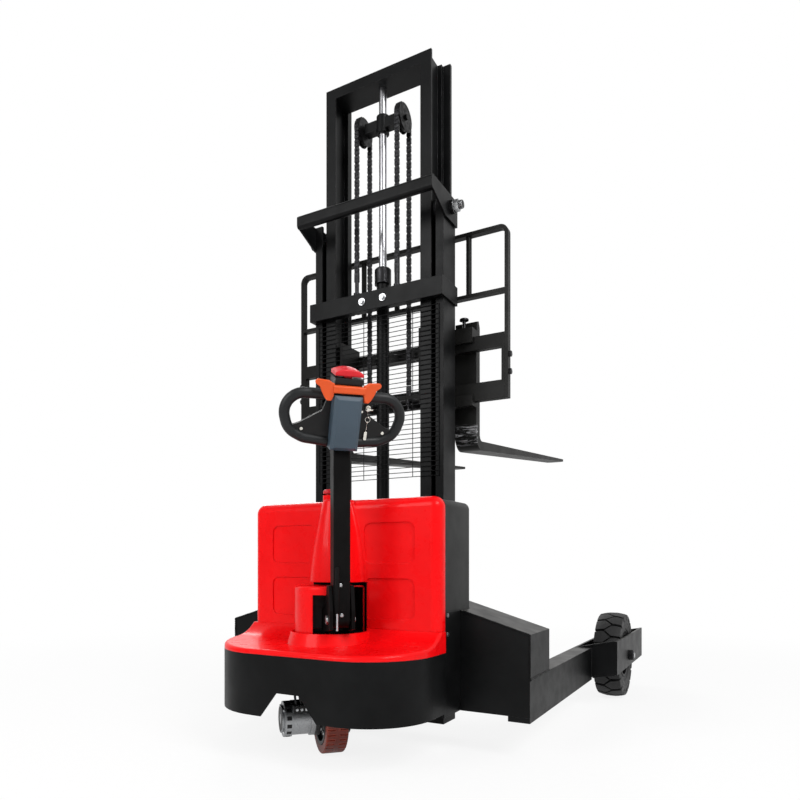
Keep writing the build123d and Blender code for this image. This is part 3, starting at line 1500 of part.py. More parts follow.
with BuildPart() as tiller_fittings:
    head_round(key_x, key_v, 0, key_barrel_h, key_barrel_r)
    head_round(key_x, key_v, key_seat, key_barrel_h, key_r + running_fit, mode=Mode.SUBTRACT)
    for side in (-1, 1):
        head_round(side * head_bolt_x, head_bolt_v, 0, head_bolt_h, head_bolt_r)
    head_round(lamp_x, lamp_v, 0, lamp_h, lamp_r)
keep(tiller_fittings.part, "tiller_fittings", steered)

with BuildPart() as key:
    blade_n = key_barrel_h + key_seat
    head_round(key_x, key_v, key_seat + 0.5, blade_n + key_seat, key_r)
    head_slab(key_x - key_half, key_x + key_half, key_v - key_t / 2, key_v + key_t / 2, blade_n, key_out)
keep(key.part, "key", steered)

# The part's origin is the middle of its box, on the ground.
boxes = [piece.bounding_box() for piece in pieces.values()]
middle_y = (min(box.min.Y for box in boxes) + max(box.max.Y for box in boxes)) / 2
for label, piece in pieces.items():
    placed = Location((0, -middle_y, 0)) * piece
    placed.label = label
    export_step(placed, f"parts/{label}.step")
print(f"{len(pieces)} pieces, box middle {middle_y:.4f} mm from the steering axis")
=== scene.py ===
import json
import math

import bmesh
import bpy
from mathutils import Matrix, Vector


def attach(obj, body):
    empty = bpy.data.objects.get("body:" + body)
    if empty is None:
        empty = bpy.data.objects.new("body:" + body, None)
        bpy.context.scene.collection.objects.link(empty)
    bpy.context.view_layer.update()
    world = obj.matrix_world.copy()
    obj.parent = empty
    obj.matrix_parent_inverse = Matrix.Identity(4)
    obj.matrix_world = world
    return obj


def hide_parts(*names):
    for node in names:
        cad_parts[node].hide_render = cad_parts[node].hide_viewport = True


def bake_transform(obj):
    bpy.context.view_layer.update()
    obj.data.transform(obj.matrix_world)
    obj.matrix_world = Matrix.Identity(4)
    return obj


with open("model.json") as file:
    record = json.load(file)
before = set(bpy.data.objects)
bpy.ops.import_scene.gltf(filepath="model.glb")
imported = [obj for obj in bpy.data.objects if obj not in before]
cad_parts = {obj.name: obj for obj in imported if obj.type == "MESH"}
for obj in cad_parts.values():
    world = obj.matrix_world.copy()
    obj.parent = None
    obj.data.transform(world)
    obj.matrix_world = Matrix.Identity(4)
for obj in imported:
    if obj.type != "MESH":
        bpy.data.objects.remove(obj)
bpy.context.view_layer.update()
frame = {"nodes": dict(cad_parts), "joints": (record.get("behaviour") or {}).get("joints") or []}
joints = {joint["name"]: joint for joint in frame["joints"]}
steer_y = joints["steer"]["pos_m"][1]
drive_axis = joints["drive_wheel_spin"]["axis"]
steer_turn = Matrix.Rotation(math.atan2(drive_axis[1], drive_axis[0]), 4, "Z")
head_lean = math.radians(25)
head_foot = (-152, 1031)

# The photograph's camera, level, from the steering axis on the ground
camera_x = 1.2786
camera_y = -1.8973
camera_z = 0.660
camera_turn = 29.83
camera_lens = 29.6
camera_sensor = 36.0
camera_shift_x = 0.0280
camera_shift_y = 0.2016
camera_reach = 200


def make_camera():
    """The camera that took the photograph."""
    data = bpy.data.cameras.new("camera")
    data.lens = camera_lens
    data.sensor_width = camera_sensor
    data.shift_x = camera_shift_x
    data.shift_y = camera_shift_y
    data.clip_end = camera_reach
    camera = bpy.data.objects.new("camera", data)
    camera.location = (camera_x, steer_y + camera_y, camera_z)
    camera.rotation_euler = (math.radians(90), 0, math.radians(camera_turn))
    bpy.context.scene.collection.objects.link(camera)
    bpy.context.scene.camera = camera


# Places on the object. The drawing's sizes are in millimetres from the steering axis on the ground

def at(x, y, z):
    """A point of the drawing, in metres."""
    return Vector((x / 1000, steer_y + y / 1000, z / 1000))


def steered(x, y, z):
    """A point of the drive unit or tiller, drawn straight ahead."""
    return at(*(steer_turn @ Vector((x, y, z))))


def heading(x, y, z):
    """A direction on the drive unit or tiller, drawn straight ahead."""
    return steered(x, y, z) - steered(0, 0, 0)


def on_head(u, v, n):
    """A point on the tiller's leaning head: across, up along its face, out of its face."""
    y = head_foot[0] - v * math.sin(head_lean) - n * math.cos(head_lean)
    z = head_foot[1] + v * math.cos(head_lean) - n * math.sin(head_lean)
    return steered(u, y, z)


def on_circle(reach, degrees):
    """A point of a circle about the origin."""
    angle = math.radians(degrees)
    return reach * math.cos(angle), reach * math.sin(angle)


# Motor cables

cable_r = 0.004
cable_steps = (-1, 0, 1)
cable_lengths = (0.145, 0.132, 0.122)
terminal_x = -109
terminal_y = -44
terminal_z = 178
terminal_pitch = 16
cable_sway = 14
cable_bend_y = -50
cable_bend_z = 234
gland_x = -92
gland_low = 264
gland_top = 294


def make_cables():
    """Three leads from the motor's terminals up into the drive bracket."""
    for step, length in zip(cable_steps, cable_lengths):
        foot = terminal_x + terminal_pitch * step
        gland_y = -terminal_pitch * step
        route = [
            (foot, terminal_y, terminal_z),
            (foot - cable_sway, cable_bend_y, cable_bend_z),
            (gland_x, gland_y, gland_low),
            (gland_x, gland_y, gland_top),
        ]
        points = [steered(*point) for point in route]
        curve = bpy.data.curves.new(f"motor_cable_{step + 2}", "CURVE")
        curve.dimensions = "3D"
        curve.bevel_depth = cable_r
        curve.bevel_resolution = 4
        curve.resolution_u = 16
        spline = curve.splines.new("NURBS")
        spline.points.add(len(points) - 1)
        for control, point in zip(spline.points, points):
            control.co = (*point, 1)
        spline.order_u = 3
        spline.use_endpoint_u = True
        curve.materials.append(finishes["cable_rubber"])
        cable = bpy.data.objects.new(curve.name, curve)
        bpy.context.scene.collection.objects.link(cable)
        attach(cable, "steering")
        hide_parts("motor_cables")


# Shader helpers

def new_material(name):
    """A fresh node material with its tree and its one surface shader."""
    material = bpy.data.materials.new(name)
    material.use_nodes = True
    tree = material.node_tree
    shader = next(n for n in tree.nodes if n.type == "BSDF_PRINCIPLED")
    return material, tree, shader


def put(tree, socket, value):
    """Links an output to a socket, or sets the socket's own value."""
    if isinstance(value, bpy.types.NodeSocket):
        tree.links.new(value, socket)
    else:
        socket.default_value = value


def place_of(tree):
    """Where a point is on the piece, in metres."""
    return tree.nodes.new("ShaderNodeTexCoord").outputs["Object"]


def noise(tree, scale, detail=3, rough=0.55, stretch=None, distort=0.0):
    """A cloudy value that follows the piece, stretched along its axes where that is given."""
    node = tree.nodes.new("ShaderNodeTexNoise")
    node.inputs["Scale"].default_value = scale
    node.inputs["Detail"].default_value = detail
    node.inputs["Roughness"].default_value = rough
    node.inputs["Distortion"].default_value = distort
    point = place_of(tree)
    if stretch:
        mapping = tree.nodes.new("ShaderNodeMapping")
        mapping.inputs["Scale"].default_value = stretch
        tree.links.new(point, mapping.inputs["Vector"])
        point = mapping.outputs["Vector"]
    tree.links.new(point, node.inputs["Vector"])
    return node.outputs["Fac"]


def remap(tree, value, low, high, out_low=0.0, out_high=1.0):
    """A value brought from one range to another, softly at both ends."""
    node = tree.nodes.new("ShaderNodeMapRange")
    node.interpolation_type = "SMOOTHSTEP"
    put(tree, node.inputs["Value"], value)
    node.inputs["From Min"].default_value = low
    node.inputs["From Max"].default_value = high
    node.inputs["To Min"].default_value = out_low
    node.inputs["To Max"].default_value = out_high
    return node.outputs["Result"]


def maths(tree, operation, first, second):
    """A sum, product or the like of two values."""
    node = tree.nodes.new("ShaderNodeMath")
    node.operation = operation
    put(tree, node.inputs[0], first)
    put(tree, node.inputs[1], second)
    return node.outputs["Value"]


def mix(tree, share, first, second):
    """Two colours mixed by a share."""
    node = tree.nodes.new("ShaderNodeMix")
    node.data_type = "RGBA"
    put(tree, node.inputs["Factor"], share)
    put(tree, node.inputs["A"], first if not isinstance(first, tuple) else (*first, 1))
    put(tree, node.inputs["B"], second if not isinstance(second, tuple) else (*second, 1))
    return node.outputs["Result"]


def bump(tree, height, depth, strength=1.0, base=None):
    """A normal with a height pressed into it, on top of a base normal where one is given."""
    node = tree.nodes.new("ShaderNodeBump")
    node.inputs["Strength"].default_value = strength
    node.inputs["Distance"].default_value = depth
    tree.links.new(height, node.inputs["Height"])
    if base is not None:
        tree.links.new(base, node.inputs["Normal"])
    return node.outputs["Normal"]


def rounded(tree, radius):
    """The normal of the surface with its edges rounded off."""
    node = tree.nodes.new("ShaderNodeBevel")
    node.samples = 4
    node.inputs["Radius"].default_value = radius
    return node.outputs["Normal"]


def edges(tree, radius, low=0.02, high=0.25):
    """Near 1 along outer and inner edges, 0 on open faces."""
    soft = rounded(tree, radius)
    geometry = tree.nodes.new("ShaderNodeNewGeometry")
    dot = tree.nodes.new("ShaderNodeVectorMath")
    dot.operation = "DOT_PRODUCT"
    tree.links.new(soft, dot.inputs[0])
    tree.links.new(geometry.outputs["Normal"], dot.inputs[1])
    turned = maths(tree, "SUBTRACT", 1.0, dot.outputs["Value"])
    return remap(tree, turned, low, high)


def facing_up(tree, low=0.55, high=0.95):
    """Near 1 on faces that look up, 0 on steep ones."""
    geometry = tree.nodes.new("ShaderNodeNewGeometry")
    split = tree.nodes.new("ShaderNodeSeparateXYZ")
    tree.links.new(geometry.outputs["Normal"], split.inputs["Vector"])
    return remap(tree, split.outputs["Z"], low, high)


# Finishes, one function for each kind

bare_steel = (0.30, 0.30, 0.31)
grey_primer = (0.075, 0.075, 0.078)
frame_black = (0.0034, 0.0036, 0.0038)
# Pale grey of settled dust and of painted light on up-facing faces
pale_dust_and_top_light = (0.30, 0.29, 0.27)
up_and_down = (14, 14, 0.35)
along_fork = (14, 0.5, 14)
heel_band = (1.105, 1.200, steer_y + 0.530)
heel_fade = 0.02


def scraped(tree, low, high, back):
    """Ragged marks on the front of a fork's heel, between two heights."""
    spot = tree.nodes.new("ShaderNodeSeparateXYZ")
    tree.links.new(place_of(tree), spot.inputs["Vector"])
    rise = remap(tree, spot.outputs["Z"], low, low + heel_fade)
    fall = remap(tree, spot.outputs["Z"], high - heel_fade, high, 1.0, 0.0)
    front = remap(tree, spot.outputs["Y"], back - heel_fade / 2, back, 1.0, 0.0)
    band = maths(tree, "MULTIPLY", maths(tree, "MULTIPLY", rise, front), fall)
    ragged = noise(tree, scale=12.0, detail=6, rough=0.75, stretch=(1.2, 4, 9), distort=0.6)
    return maths(tree, "MULTIPLY", remap(tree, ragged, low=0.50, high=0.60), band)


def painted(name, colour, rough, wear=0.5, dust=0.0, edge=0.0015, streak=None, scrape=None, gloss=0.11):
    """Satin paint on steel: clouded colour, orange peel, worn edges, settled dust and painted top light, a
    scraped heel.
    """
    material, tree, shader = new_material(name)
    peel = 0.00012
    lighter = tuple(min(1.0, c * 1.4 + 0.001) for c in colour)
    darker = tuple(c * 0.72 for c in colour)
    cloud = remap(tree, noise(tree, scale=5.0, detail=4), low=0.3, high=0.7)
    shade = mix(tree, cloud, darker, lighter)
    if streak:
        rub = noise(tree, scale=9.0, detail=5, rough=0.7, stretch=streak)
        shade = mix(tree, remap(tree, rub, low=0.62, high=0.80, out_high=0.22), shade, grey_primer)
    if scrape:
        shade = mix(tree, scraped(tree, *scrape), shade, bare_steel)
    # Up-facing faces lightened towards pale grey: partly settled dust, partly painted light from above
    if dust:
        patches = remap(tree, noise(tree, scale=16.0, detail=4, rough=0.5), low=0.1, high=0.9)
        dust_and_top_light = maths(tree, "MULTIPLY", facing_up(tree), patches)
        shade = mix(tree, maths(tree, "MULTIPLY", dust_and_top_light, dust), shade, pale_dust_and_top_light)
    chips = remap(tree, noise(tree, scale=60.0, detail=4, rough=0.7), low=0.42, high=0.62)
    rim = maths(tree, "MULTIPLY", edges(tree, edge), chips)
    shade = mix(tree, maths(tree, "MULTIPLY", rim, wear), shade, grey_primer)
    sheen = remap(tree, noise(tree, scale=14.0, detail=4), 0.25, 0.75, rough - 0.04, rough + 0.05)
    fine = noise(tree, scale=320.0, detail=2)
    put(tree, shader.inputs["Base Color"], shade)
    put(tree, shader.inputs["Roughness"], sheen)
    put(tree, shader.inputs["Normal"], bump(tree, fine, peel, 0.6, rounded(tree, edge)))
    shader.inputs["Specular IOR Level"].default_value = gloss
    return material


def moulded(name, colour, rough, grain=0.0, coat=0.0, edge=0.0012, shift=0.06, scuffs=0.18, gloss=0.26):
    """Moulded plastic: a slight drift of colour, a fine grain or a gloss coat, soft edges."""
    material, tree, shader = new_material(name)
    lighter = tuple(min(1.0, c * (1 + shift) + 0.002) for c in colour)
    darker = tuple(c * (1 - 2 * shift) for c in colour)
    pale = tuple(c * 0.75 + 0.10 for c in colour)
    drift = remap(tree, noise(tree, scale=4.0, detail=4), low=0.3, high=0.7)
    shade = mix(tree, drift, darker, lighter)
    scratches = noise(tree, scale=45.0, detail=6, rough=0.72, stretch=(1, 1, 0.35))
    shade = mix(tree, remap(tree, scratches, low=0.64, high=0.80, out_high=scuffs), shade, pale)
    sheen = remap(tree, noise(tree, scale=22.0, detail=4), 0.25, 0.75, rough - 0.06, rough + 0.08)
    soft = rounded(tree, edge)
    if grain:
        skin = bump(tree, noise(tree, scale=1400.0, detail=2), grain, 0.5, soft)
    else:
        skin = bump(tree, noise(tree, scale=130.0, detail=1), 0.00003, 0.30, soft)
    put(tree, shader.inputs["Base Color"], shade)
    put(tree, shader.inputs["Roughness"], sheen)
    put(tree, shader.inputs["Normal"], skin)
    shader.inputs["Specular IOR Level"].default_value = gloss
    shader.inputs["Coat Weight"].default_value = coat
    shader.inputs["Coat Roughness"].default_value = 0.06
    return material


def metal(name, colour, rough, stretch=None, scale=90.0, depth=0.00004, tarnish=0.25):
    """Bare or plated metal: drawn lines, tarnish in clouds, softened edges."""
    material, tree, shader = new_material(name)
    edge = 0.0008
    dull = tuple(c * 0.55 for c in colour)
    cloud = noise(tree, scale=24.0, detail=5, rough=0.65)
    shade = mix(tree, remap(tree, cloud, low=0.45, high=0.75, out_high=tarnish * 2), colour, dull)
    lines = noise(tree, scale, detail=4, rough=0.6, stretch=stretch)
    put(tree, shader.inputs["Base Color"], shade)
    put(tree, shader.inputs["Roughness"], remap(tree, lines, 0.25, 0.75, rough * 0.65, rough * 1.35))
    put(tree, shader.inputs["Normal"], bump(tree, lines, depth, 0.5, rounded(tree, edge)))
    shader.inputs["Metallic"].default_value = 1.0
    return material


def cast(name, colour, rough, metallic, depth=0.0006, scale=230.0):
    """Cast metal: a pebbled skin with darker pits."""
    material, tree, shader = new_material(name)
    edge = 0.0012
    dark = tuple(c * 0.45 for c in colour)
    pebble = noise(tree, scale, detail=4, rough=0.6)
    cloud = noise(tree, scale=16.0, detail=4)
    shade = mix(tree, remap(tree, pebble, low=0.30, high=0.55), dark, colour)
    shade = mix(tree, remap(tree, cloud, low=0.5, high=0.8, out_high=0.5), shade, dark)
    put(tree, shader.inputs["Base Color"], shade)
    put(tree, shader.inputs["Roughness"], remap(tree, pebble, 0.2, 0.8, rough - 0.08, rough + 0.12))
    put(tree, shader.inputs["Normal"], bump(tree, pebble, depth, 0.4, rounded(tree, edge)))
    shader.inputs["Metallic"].default_value = metallic
    return material


def rubber(name, colour, rough, dust, grain=0.00025, rim=None):
    """Rubber or polyurethane: matt grain, scuffs, dust held in the low places."""
    material, tree, shader = new_material(name)
    edge = 0.0015
    scuffed = tuple(c * 1.6 + 0.004 for c in colour)
    darker = tuple(c * 0.75 for c in colour)
    cloud = noise(tree, scale=11.0, detail=5, rough=0.62)
    shade = mix(tree, remap(tree, cloud, low=0.35, high=0.75), darker, scuffed)
    held = noise(tree, scale=70.0, detail=5, rough=0.7)
    shade = mix(tree, remap(tree, held, low=0.52, high=0.75, out_high=0.55), shade, dust)
    if rim:
        shade = mix(tree, edges(tree, radius=0.006, low=0.01, high=0.12), shade, rim)
    grit = noise(tree, scale=520.0, detail=3)
    put(tree, shader.inputs["Base Color"], shade)
    put(tree, shader.inputs["Roughness"], remap(tree, cloud, 0.25, 0.75, rough - 0.1, rough + 0.08))
    put(tree, shader.inputs["Normal"], bump(tree, grit, grain, 0.5, rounded(tree, edge)))
    shader.inputs["Specular IOR Level"].default_value = 0.30
    return material


finishes = {
    "red_paint": moulded("red_paint", (0.82, 0.0022, 0.0040), rough=0.30, coat=0.10, edge=0.004, shift=0.03,
                         scuffs=0.0, gloss=0.10),
    "black_frame": painted("black_frame", frame_black, rough=0.40, wear=0.4, dust=0.20, edge=0.0028),
    "inner_black": painted("inner_black", frame_black, rough=0.38, wear=0.4, edge=0.0028, streak=up_and_down),
    "fork_black": painted("fork_black", (0.0080, 0.0080, 0.0075), rough=0.46, wear=0.35, streak=along_fork,
                          scrape=heel_band),
    "cabinet_black": painted("cabinet_black", (0.0036, 0.0039, 0.0035), rough=0.34, wear=0.3, dust=0.04),
    "bolt_steel": metal("bolt_steel", (0.56, 0.57, 0.58), rough=0.32),
    "dark_steel": metal("dark_steel", (0.034, 0.034, 0.036), rough=0.44, tarnish=0.35),
    "rod_chrome": metal("rod_chrome", (0.52, 0.52, 0.54), rough=0.30, stretch=(60, 60, 0.8), scale=60.0,
                        depth=0.000003, tarnish=0.06),
    "roller_steel": metal("roller_steel", (0.016, 0.016, 0.017), rough=0.48),
    "motor_alloy": cast("motor_alloy", (0.40, 0.41, 0.42), rough=0.42, metallic=1.0, depth=0.0003, scale=420.0),
    "hub_iron": cast("hub_iron", (0.010, 0.010, 0.011), rough=0.48, metallic=0.0),
    "drive_tread": rubber("drive_tread", (0.150, 0.024, 0.014), rough=0.45, dust=(0.16, 0.060, 0.036),
                          rim=(0.34, 0.045, 0.020)),
    "tyre_rubber": rubber("tyre_rubber", (0.012, 0.012, 0.0125), rough=0.58, dust=(0.036, 0.035, 0.033)),
    "rim_paint": painted("rim_paint", (0.0090, 0.0090, 0.0095), rough=0.42),
    "cable_rubber": rubber("cable_rubber", (0.012, 0.012, 0.013), rough=0.46, dust=(0.03, 0.03, 0.03),
                           grain=0.0001),
    "battery_case": moulded("battery_case", (0.020, 0.020, 0.022), rough=0.55, grain=0.0002),
    "hydraulic_parts": metal("hydraulic_parts", (0.50, 0.50, 0.52), rough=0.34),
    "tiller_black": painted("tiller_black", (0.0036, 0.0033, 0.0033), rough=0.40, wear=0.35, gloss=0.05),
    "grip_rubber": moulded("grip_rubber", (0.0100, 0.0112, 0.0120), rough=0.44, grain=0.00025, scuffs=0.08),
    "box_slate": moulded("box_slate", (0.048, 0.072, 0.096), rough=0.40, grain=0.00018, edge=0.003,
                         scuffs=0.06),
    "throttle_orange": moulded("throttle_orange", (0.64, 0.078, 0.012), rough=0.38, grain=0.00012, edge=0.002,
                               scuffs=0.08),
    "button_red": moulded("button_red", (0.58, 0.010, 0.018), rough=0.40, coat=0.05, edge=0.003, scuffs=0.05),
    "head_black": moulded("head_black", (0.0056, 0.0056, 0.0060), rough=0.46, grain=0.0002, scuffs=0.06),
    "key_metal": metal("key_metal", (0.72, 0.70, 0.64), rough=0.26),
    "mesh_wire": painted("mesh_wire", (0.0060, 0.0060, 0.0064), rough=0.42, wear=0.2, edge=0.0004),
}


def finish_nodes():
    """Gives each CAD node the finish of its slot."""
    for node in frame["nodes"].values():
        for place, old in enumerate(node.data.materials):
            node.data.materials[place] = finishes[old.name.split(".")[0]]


# Shapes as points and faces

def merged(shapes):
    """Several shapes as one."""
    points = []
    faces = []
    for more_points, more_faces in shapes:
        shift = len(points)
        points.extend(more_points)
        faces.extend(tuple(i + shift for i in face) for face in more_faces)
    return points, faces


def piece(name, shape, body, slot, bevel=0.0, sharp=35):
    """A mesh piece that rides on a body, with the finish of its slot."""
    mesh = bpy.data.meshes.new(name)
    mesh.from_pydata([tuple(p) for p in shape[0]], [], shape[1])
    shell = bmesh.new()
    shell.from_mesh(mesh)
    bmesh.ops.recalc_face_normals(shell, faces=shell.faces)
    shell.to_mesh(mesh)
    shell.free()
    mesh.shade_smooth()
    mesh.set_sharp_from_angle(angle=math.radians(sharp))
    mesh.materials.append(finishes[slot])
    made = bpy.data.objects.new(name, mesh)
    bpy.context.scene.collection.objects.link(made)
    if bevel:
        cut = made.modifiers.new("bevel", "BEVEL")
        cut.width = bevel
        cut.segments = 2
        cut.limit_method = "ANGLE"
        cut.angle_limit = math.radians(sharp)
    if body:
        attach(made, body)
    return made


def across(axis):
    """Two directions at right angles to an axis and each other."""
    axis = Vector(axis).normalized()
    side = axis.cross(Vector((0, 0, 1)))
    if side.length < 0.1:
        side = axis.cross(Vector((0, 1, 0)))
    side.normalize()
    return side, axis.cross(side).normalized()


def lathe(profile, centre, axis, steps=32):
    """A closed profile of (along, radius), in metres, turned about an axis. Ends at radius 0 are points."""
    axis = Vector(axis).normalized()
    side, up = across(axis)
    rings = []
    points = []
    for along, radius in profile:
        foot = Vector(centre) + axis * along
        if radius == 0:
            rings.append([len(points)])
            points.append(foot)
            continue
        rings.append(list(range(len(points), len(points) + steps)))
        for i in range(steps):
            angle = 2 * math.pi * i / steps
            points.append(foot + (side * math.cos(angle) + up * math.sin(angle)) * radius)
    faces = []
    loop = profile[0][1] != 0
    for near, far in zip(rings, rings[1:] + (rings[:1] if loop else [])):
        for i in range(steps):
            j = (i + 1) % steps
            corners = [near[i % len(near)], near[j % len(near)], far[j % len(far)], far[i % len(far)]]
            faces.append(tuple(dict.fromkeys(corners)))
    return points, faces


def tube(path, radius, sides=8, closed=False):
    """A round bar along points in metres. radius is one number or one for each point."""
    path = [Vector(p) for p in path]
    count = len(path)
    radii = radius if isinstance(radius, list) else [radius] * count
    points = []
    side = None
    for i, point in enumerate(path):
        before = path[i - 1] if i or closed else point
        after = path[(i + 1) % count] if i + 1 < count or closed else point
        ahead = (after - before).normalized()
        side = across(ahead)[0] if side is None else (side - ahead * side.dot(ahead)).normalized()
        up = ahead.cross(side)
        for k in range(sides):
            angle = 2 * math.pi * k / sides
            points.append(point + (side * math.cos(angle) + up * math.sin(angle)) * radii[i])
    faces = []
    for i in range(count if closed else count - 1):
        near = i * sides
        far = (i + 1) % count * sides
        for k in range(sides):
            faces.append((near + k, near + (k + 1) % sides, far + (k + 1) % sides, far + k))
    if not closed:
        faces.append(tuple(range(sides)))
        faces.append(tuple(range((count - 1) * sides, count * sides)))
    return points, faces


def prism(outline, place, near, far):
    """An outline of (a, b) drawn out from near to far, each corner put in place by place(a, b, c)."""
    count = len(outline)
    points = [place(a, b, c) for c in (near, far) for a, b in outline]
    faces = [(i, (i + 1) % count, count + (i + 1) % count, count + i) for i in range(count)]
    faces.append(tuple(range(count)))
    faces.append(tuple(range(count, 2 * count)))
    return points, faces


def rounded_box(half_a, half_b, radius, steps=4):
    """The outline of a rectangle with round corners."""
    outline = []
    for turn, (a, b) in enumerate(((1, 1), (-1, 1), (-1, -1), (1, -1))):
        for i in range(steps + 1):
            angle = math.pi / 2 * (turn + i / steps)
            outline.append((a * (half_a - radius) + radius * math.cos(angle),
                            b * (half_b - radius) + radius * math.sin(angle)))
    return outline


hex_sides = 6
ripple_step = 0.0032


def bolt(centre, axis, across_flats, height, washer=0.0):
    """A chamfered hexagon head with a dished middle, and a washer under it where one is given."""
    centre = Vector(centre)
    axis = Vector(axis).normalized()
    side, up = across(axis)
    corner = across_flats / math.sqrt(3)
    rings = [(0, corner), (height * 0.8, corner), (height, corner * 0.84), (height, corner * 0.45)]
    points = []
    for along, radius in rings:
        for i in range(hex_sides):
            angle = math.pi / 3 * i
            spoke = side * math.cos(angle) + up * math.sin(angle)
            points.append(centre + axis * along + spoke * radius)
    points.append(centre + axis * height * 0.86)
    faces = [tuple(range(hex_sides))]
    for low in range(0, (len(rings) - 1) * hex_sides, hex_sides):
        high = low + hex_sides
        for i in range(hex_sides):
            j = (i + 1) % hex_sides
            faces.append((low + i, low + j, high + j, high + i))
    top = (len(rings) - 1) * hex_sides
    faces.extend((top + i, top + (i + 1) % hex_sides, len(points) - 1) for i in range(hex_sides))
    shapes = [(points, faces)]
    if washer:
        ring = [(-0.001, 0), (-0.001, washer), (0.0016, washer), (0.0022, washer * 0.92), (0.0022, 0)]
        shapes.append(lathe(ring, centre, axis, 24))
    return merged(shapes)


def weld(path, radius):
    """A rippled bead along straight runs between points in metres."""
    dense = []
    radii = []
    for start, end in zip(path, path[1:]):
        run = Vector(end) - Vector(start)
        count = max(2, int(run.length / ripple_step))
        for i in range(count):
            ripple = 1.0 + 0.16 * math.cos(2.2 * len(radii)) + 0.08 * math.sin(0.37 * len(radii))
            dense.append(Vector(start) + run * (i / count))
            radii.append(radius * ripple)
    dense.append(Vector(path[-1]))
    radii.append(radius * 0.7)
    return tube(dense, radii, 7)


# Load tyres

tyre_r = 0.204
tyre_half = 0.060
tyre_rim_r = 0.104
tyre_steps = 96
lug_count = 18
lug_half = 0.0285
lug_side = 0.0585
lug_shoulder = 0.0165
lug_rows = (-lug_side, -0.046, -0.031, -lug_shoulder)
lug_tip = 0.0130
lug_crown = 0.0100
lug_foot_r = 0.187
lug_foot_spread = 1.06
wall_r = 0.168
wall_spread = 0.8


def lug(centre, side, angle):
    """One pointed block of the tread, crowned, with a foot down the tyre's shoulder."""
    outline = [(along, inward) for inward in lug_rows for along in (-lug_half, 0, lug_half)]
    outline.append((0, lug_tip))

    def place(along, inward, radius):
        turn = angle + along / tyre_r
        return Vector((centre[0] - side * inward, centre[1] + radius * math.cos(turn),
                       centre[2] + radius * math.sin(turn)))

    points = [place(along, inward, tyre_r - lug_crown * (inward / tyre_half) ** 2) for along, inward in outline]
    points += [place(along * lug_foot_spread, inward, lug_foot_r) for along, inward in outline]
    points += [place(along * wall_spread, -tyre_half, wall_r) for along in (-lug_half, 0, lug_half)]
    low = len(outline)
    wall = 2 * low
    tip = low - 1
    faces = []
    for row in range(len(lug_rows) - 1):
        for step in range(2):
            a = 3 * row + step
            faces.append((a, a + 1, a + 4, a + 3))
    faces += [(9, 10, tip), (10, 11, tip)]
    border = [2, 5, 8, 11, tip, 9, 6, 3, 0]
    faces += [(a, b, low + b, low + a) for a, b in zip(border, border[1:])]
    faces += [(wall, wall + 1, 1, 0), (wall + 1, wall + 2, 2, 1), (low, wall, 0), (low + 2, 2, wall + 2)]
    faces += [(low, low + 1, wall + 1, wall), (low + 1, low + 2, wall + 2, wall + 1)]
    return points, faces


def make_tyres():
    """Two lugged tyres: a ringed casing with two staggered rows of pointed blocks."""
    wall = [(-0.0440, tyre_rim_r - 0.0005), (-0.0480, 0.1060), (-0.0505, 0.1120), (-0.0535, 0.1160),
            (-0.0535, 0.1190), (-0.0515, 0.1205), (-0.0515, 0.1235), (-0.0550, 0.1255), (-0.0575, 0.1360),
            (-0.0588, 0.1440), (-0.0588, 0.1475), (-0.0570, 0.1490), (-0.0570, 0.1515), (-0.0594, 0.1530),
            (-0.0596, 0.1660), (-0.0575, 0.1760), (-0.0520, 0.1840), (-0.0400, 0.1880), (-0.0200, 0.1890)]
    profile = wall + [(0.0, 0.1892)] + [(-a, r) for a, r in reversed(wall)]
    for end in ("left", "right"):
        centre = joints[f"load_wheel_{end}_spin"]["pos_m"]
        shapes = [lathe(profile, centre, (1, 0, 0), tyre_steps)]
        for i in range(lug_count):
            turn = 2 * math.pi * i / lug_count
            shapes.append(lug(centre, 1, turn))
            shapes.append(lug(centre, -1, turn + math.pi / lug_count))
        tyre = piece(f"tread_{end}", merged(shapes), f"load_wheel_{end}", "tyre_rubber", bevel=0.0018, sharp=32)
        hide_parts(f"load_tyre_{end}")


# Lift chains

chain_x = 0.090
chain_r = 0.050
chain_top = 2.385
chain_front = 1.800
chain_rear = 1.352
chain_rise = chain_top - chain_front
chain_bow = math.pi * chain_r
chain_pitch = 0.0159
chain_y = joints["chain_wheel_turn"]["pos_m"][1]
leaf_r = 0.0059
leaf_waist = 0.0042
leaf_t = 0.0020
leaf_half = 0.46
leaf_points = 5
inner_leaves = (-3, -1, 1, 3)
outer_leaves = (-4, -2, 0, 2, 4)
pin_leaves = 4.6
pin_r = 0.0028


def chain_place(run):
    """Where the chain is, in y and z, at a length from its front anchor."""
    if run < chain_rise:
        return chain_y - chain_r, chain_front + run
    if run < chain_rise + chain_bow:
        angle = (run - chain_rise) / chain_r
        return chain_y - chain_r * math.cos(angle), chain_top + chain_r * math.sin(angle)
    return chain_y + chain_r, chain_top - (run - chain_rise - chain_bow)


def link(x, start, end, leaves):
    """A stack of waisted leaves between two pins, with the first pin."""
    start = Vector((x, *start))
    end = Vector((x, *end))
    ahead = (end - start).normalized()
    side = Vector((1, 0, 0)).cross(ahead)
    near = [on_circle(leaf_r, 90 + 45 * i) for i in range(leaf_points)]
    far = [on_circle(leaf_r, -90 + 45 * i) for i in range(leaf_points)]
    waist = chain_pitch / 2
    outline = near + [(waist, -leaf_waist)] + [(chain_pitch + a, b) for a, b in far] + [(waist, leaf_waist)]

    def place(a, b, c):
        return start + ahead * a + side * b + Vector((c, 0, 0))

    shapes = []
    for step in leaves:
        shapes.append(prism(outline, place, (step - leaf_half) * leaf_t, (step + leaf_half) * leaf_t))
    pin = Vector((pin_leaves * leaf_t, 0, 0))
    shapes.append(tube([start - pin, start + pin], pin_r))
    return merged(shapes)


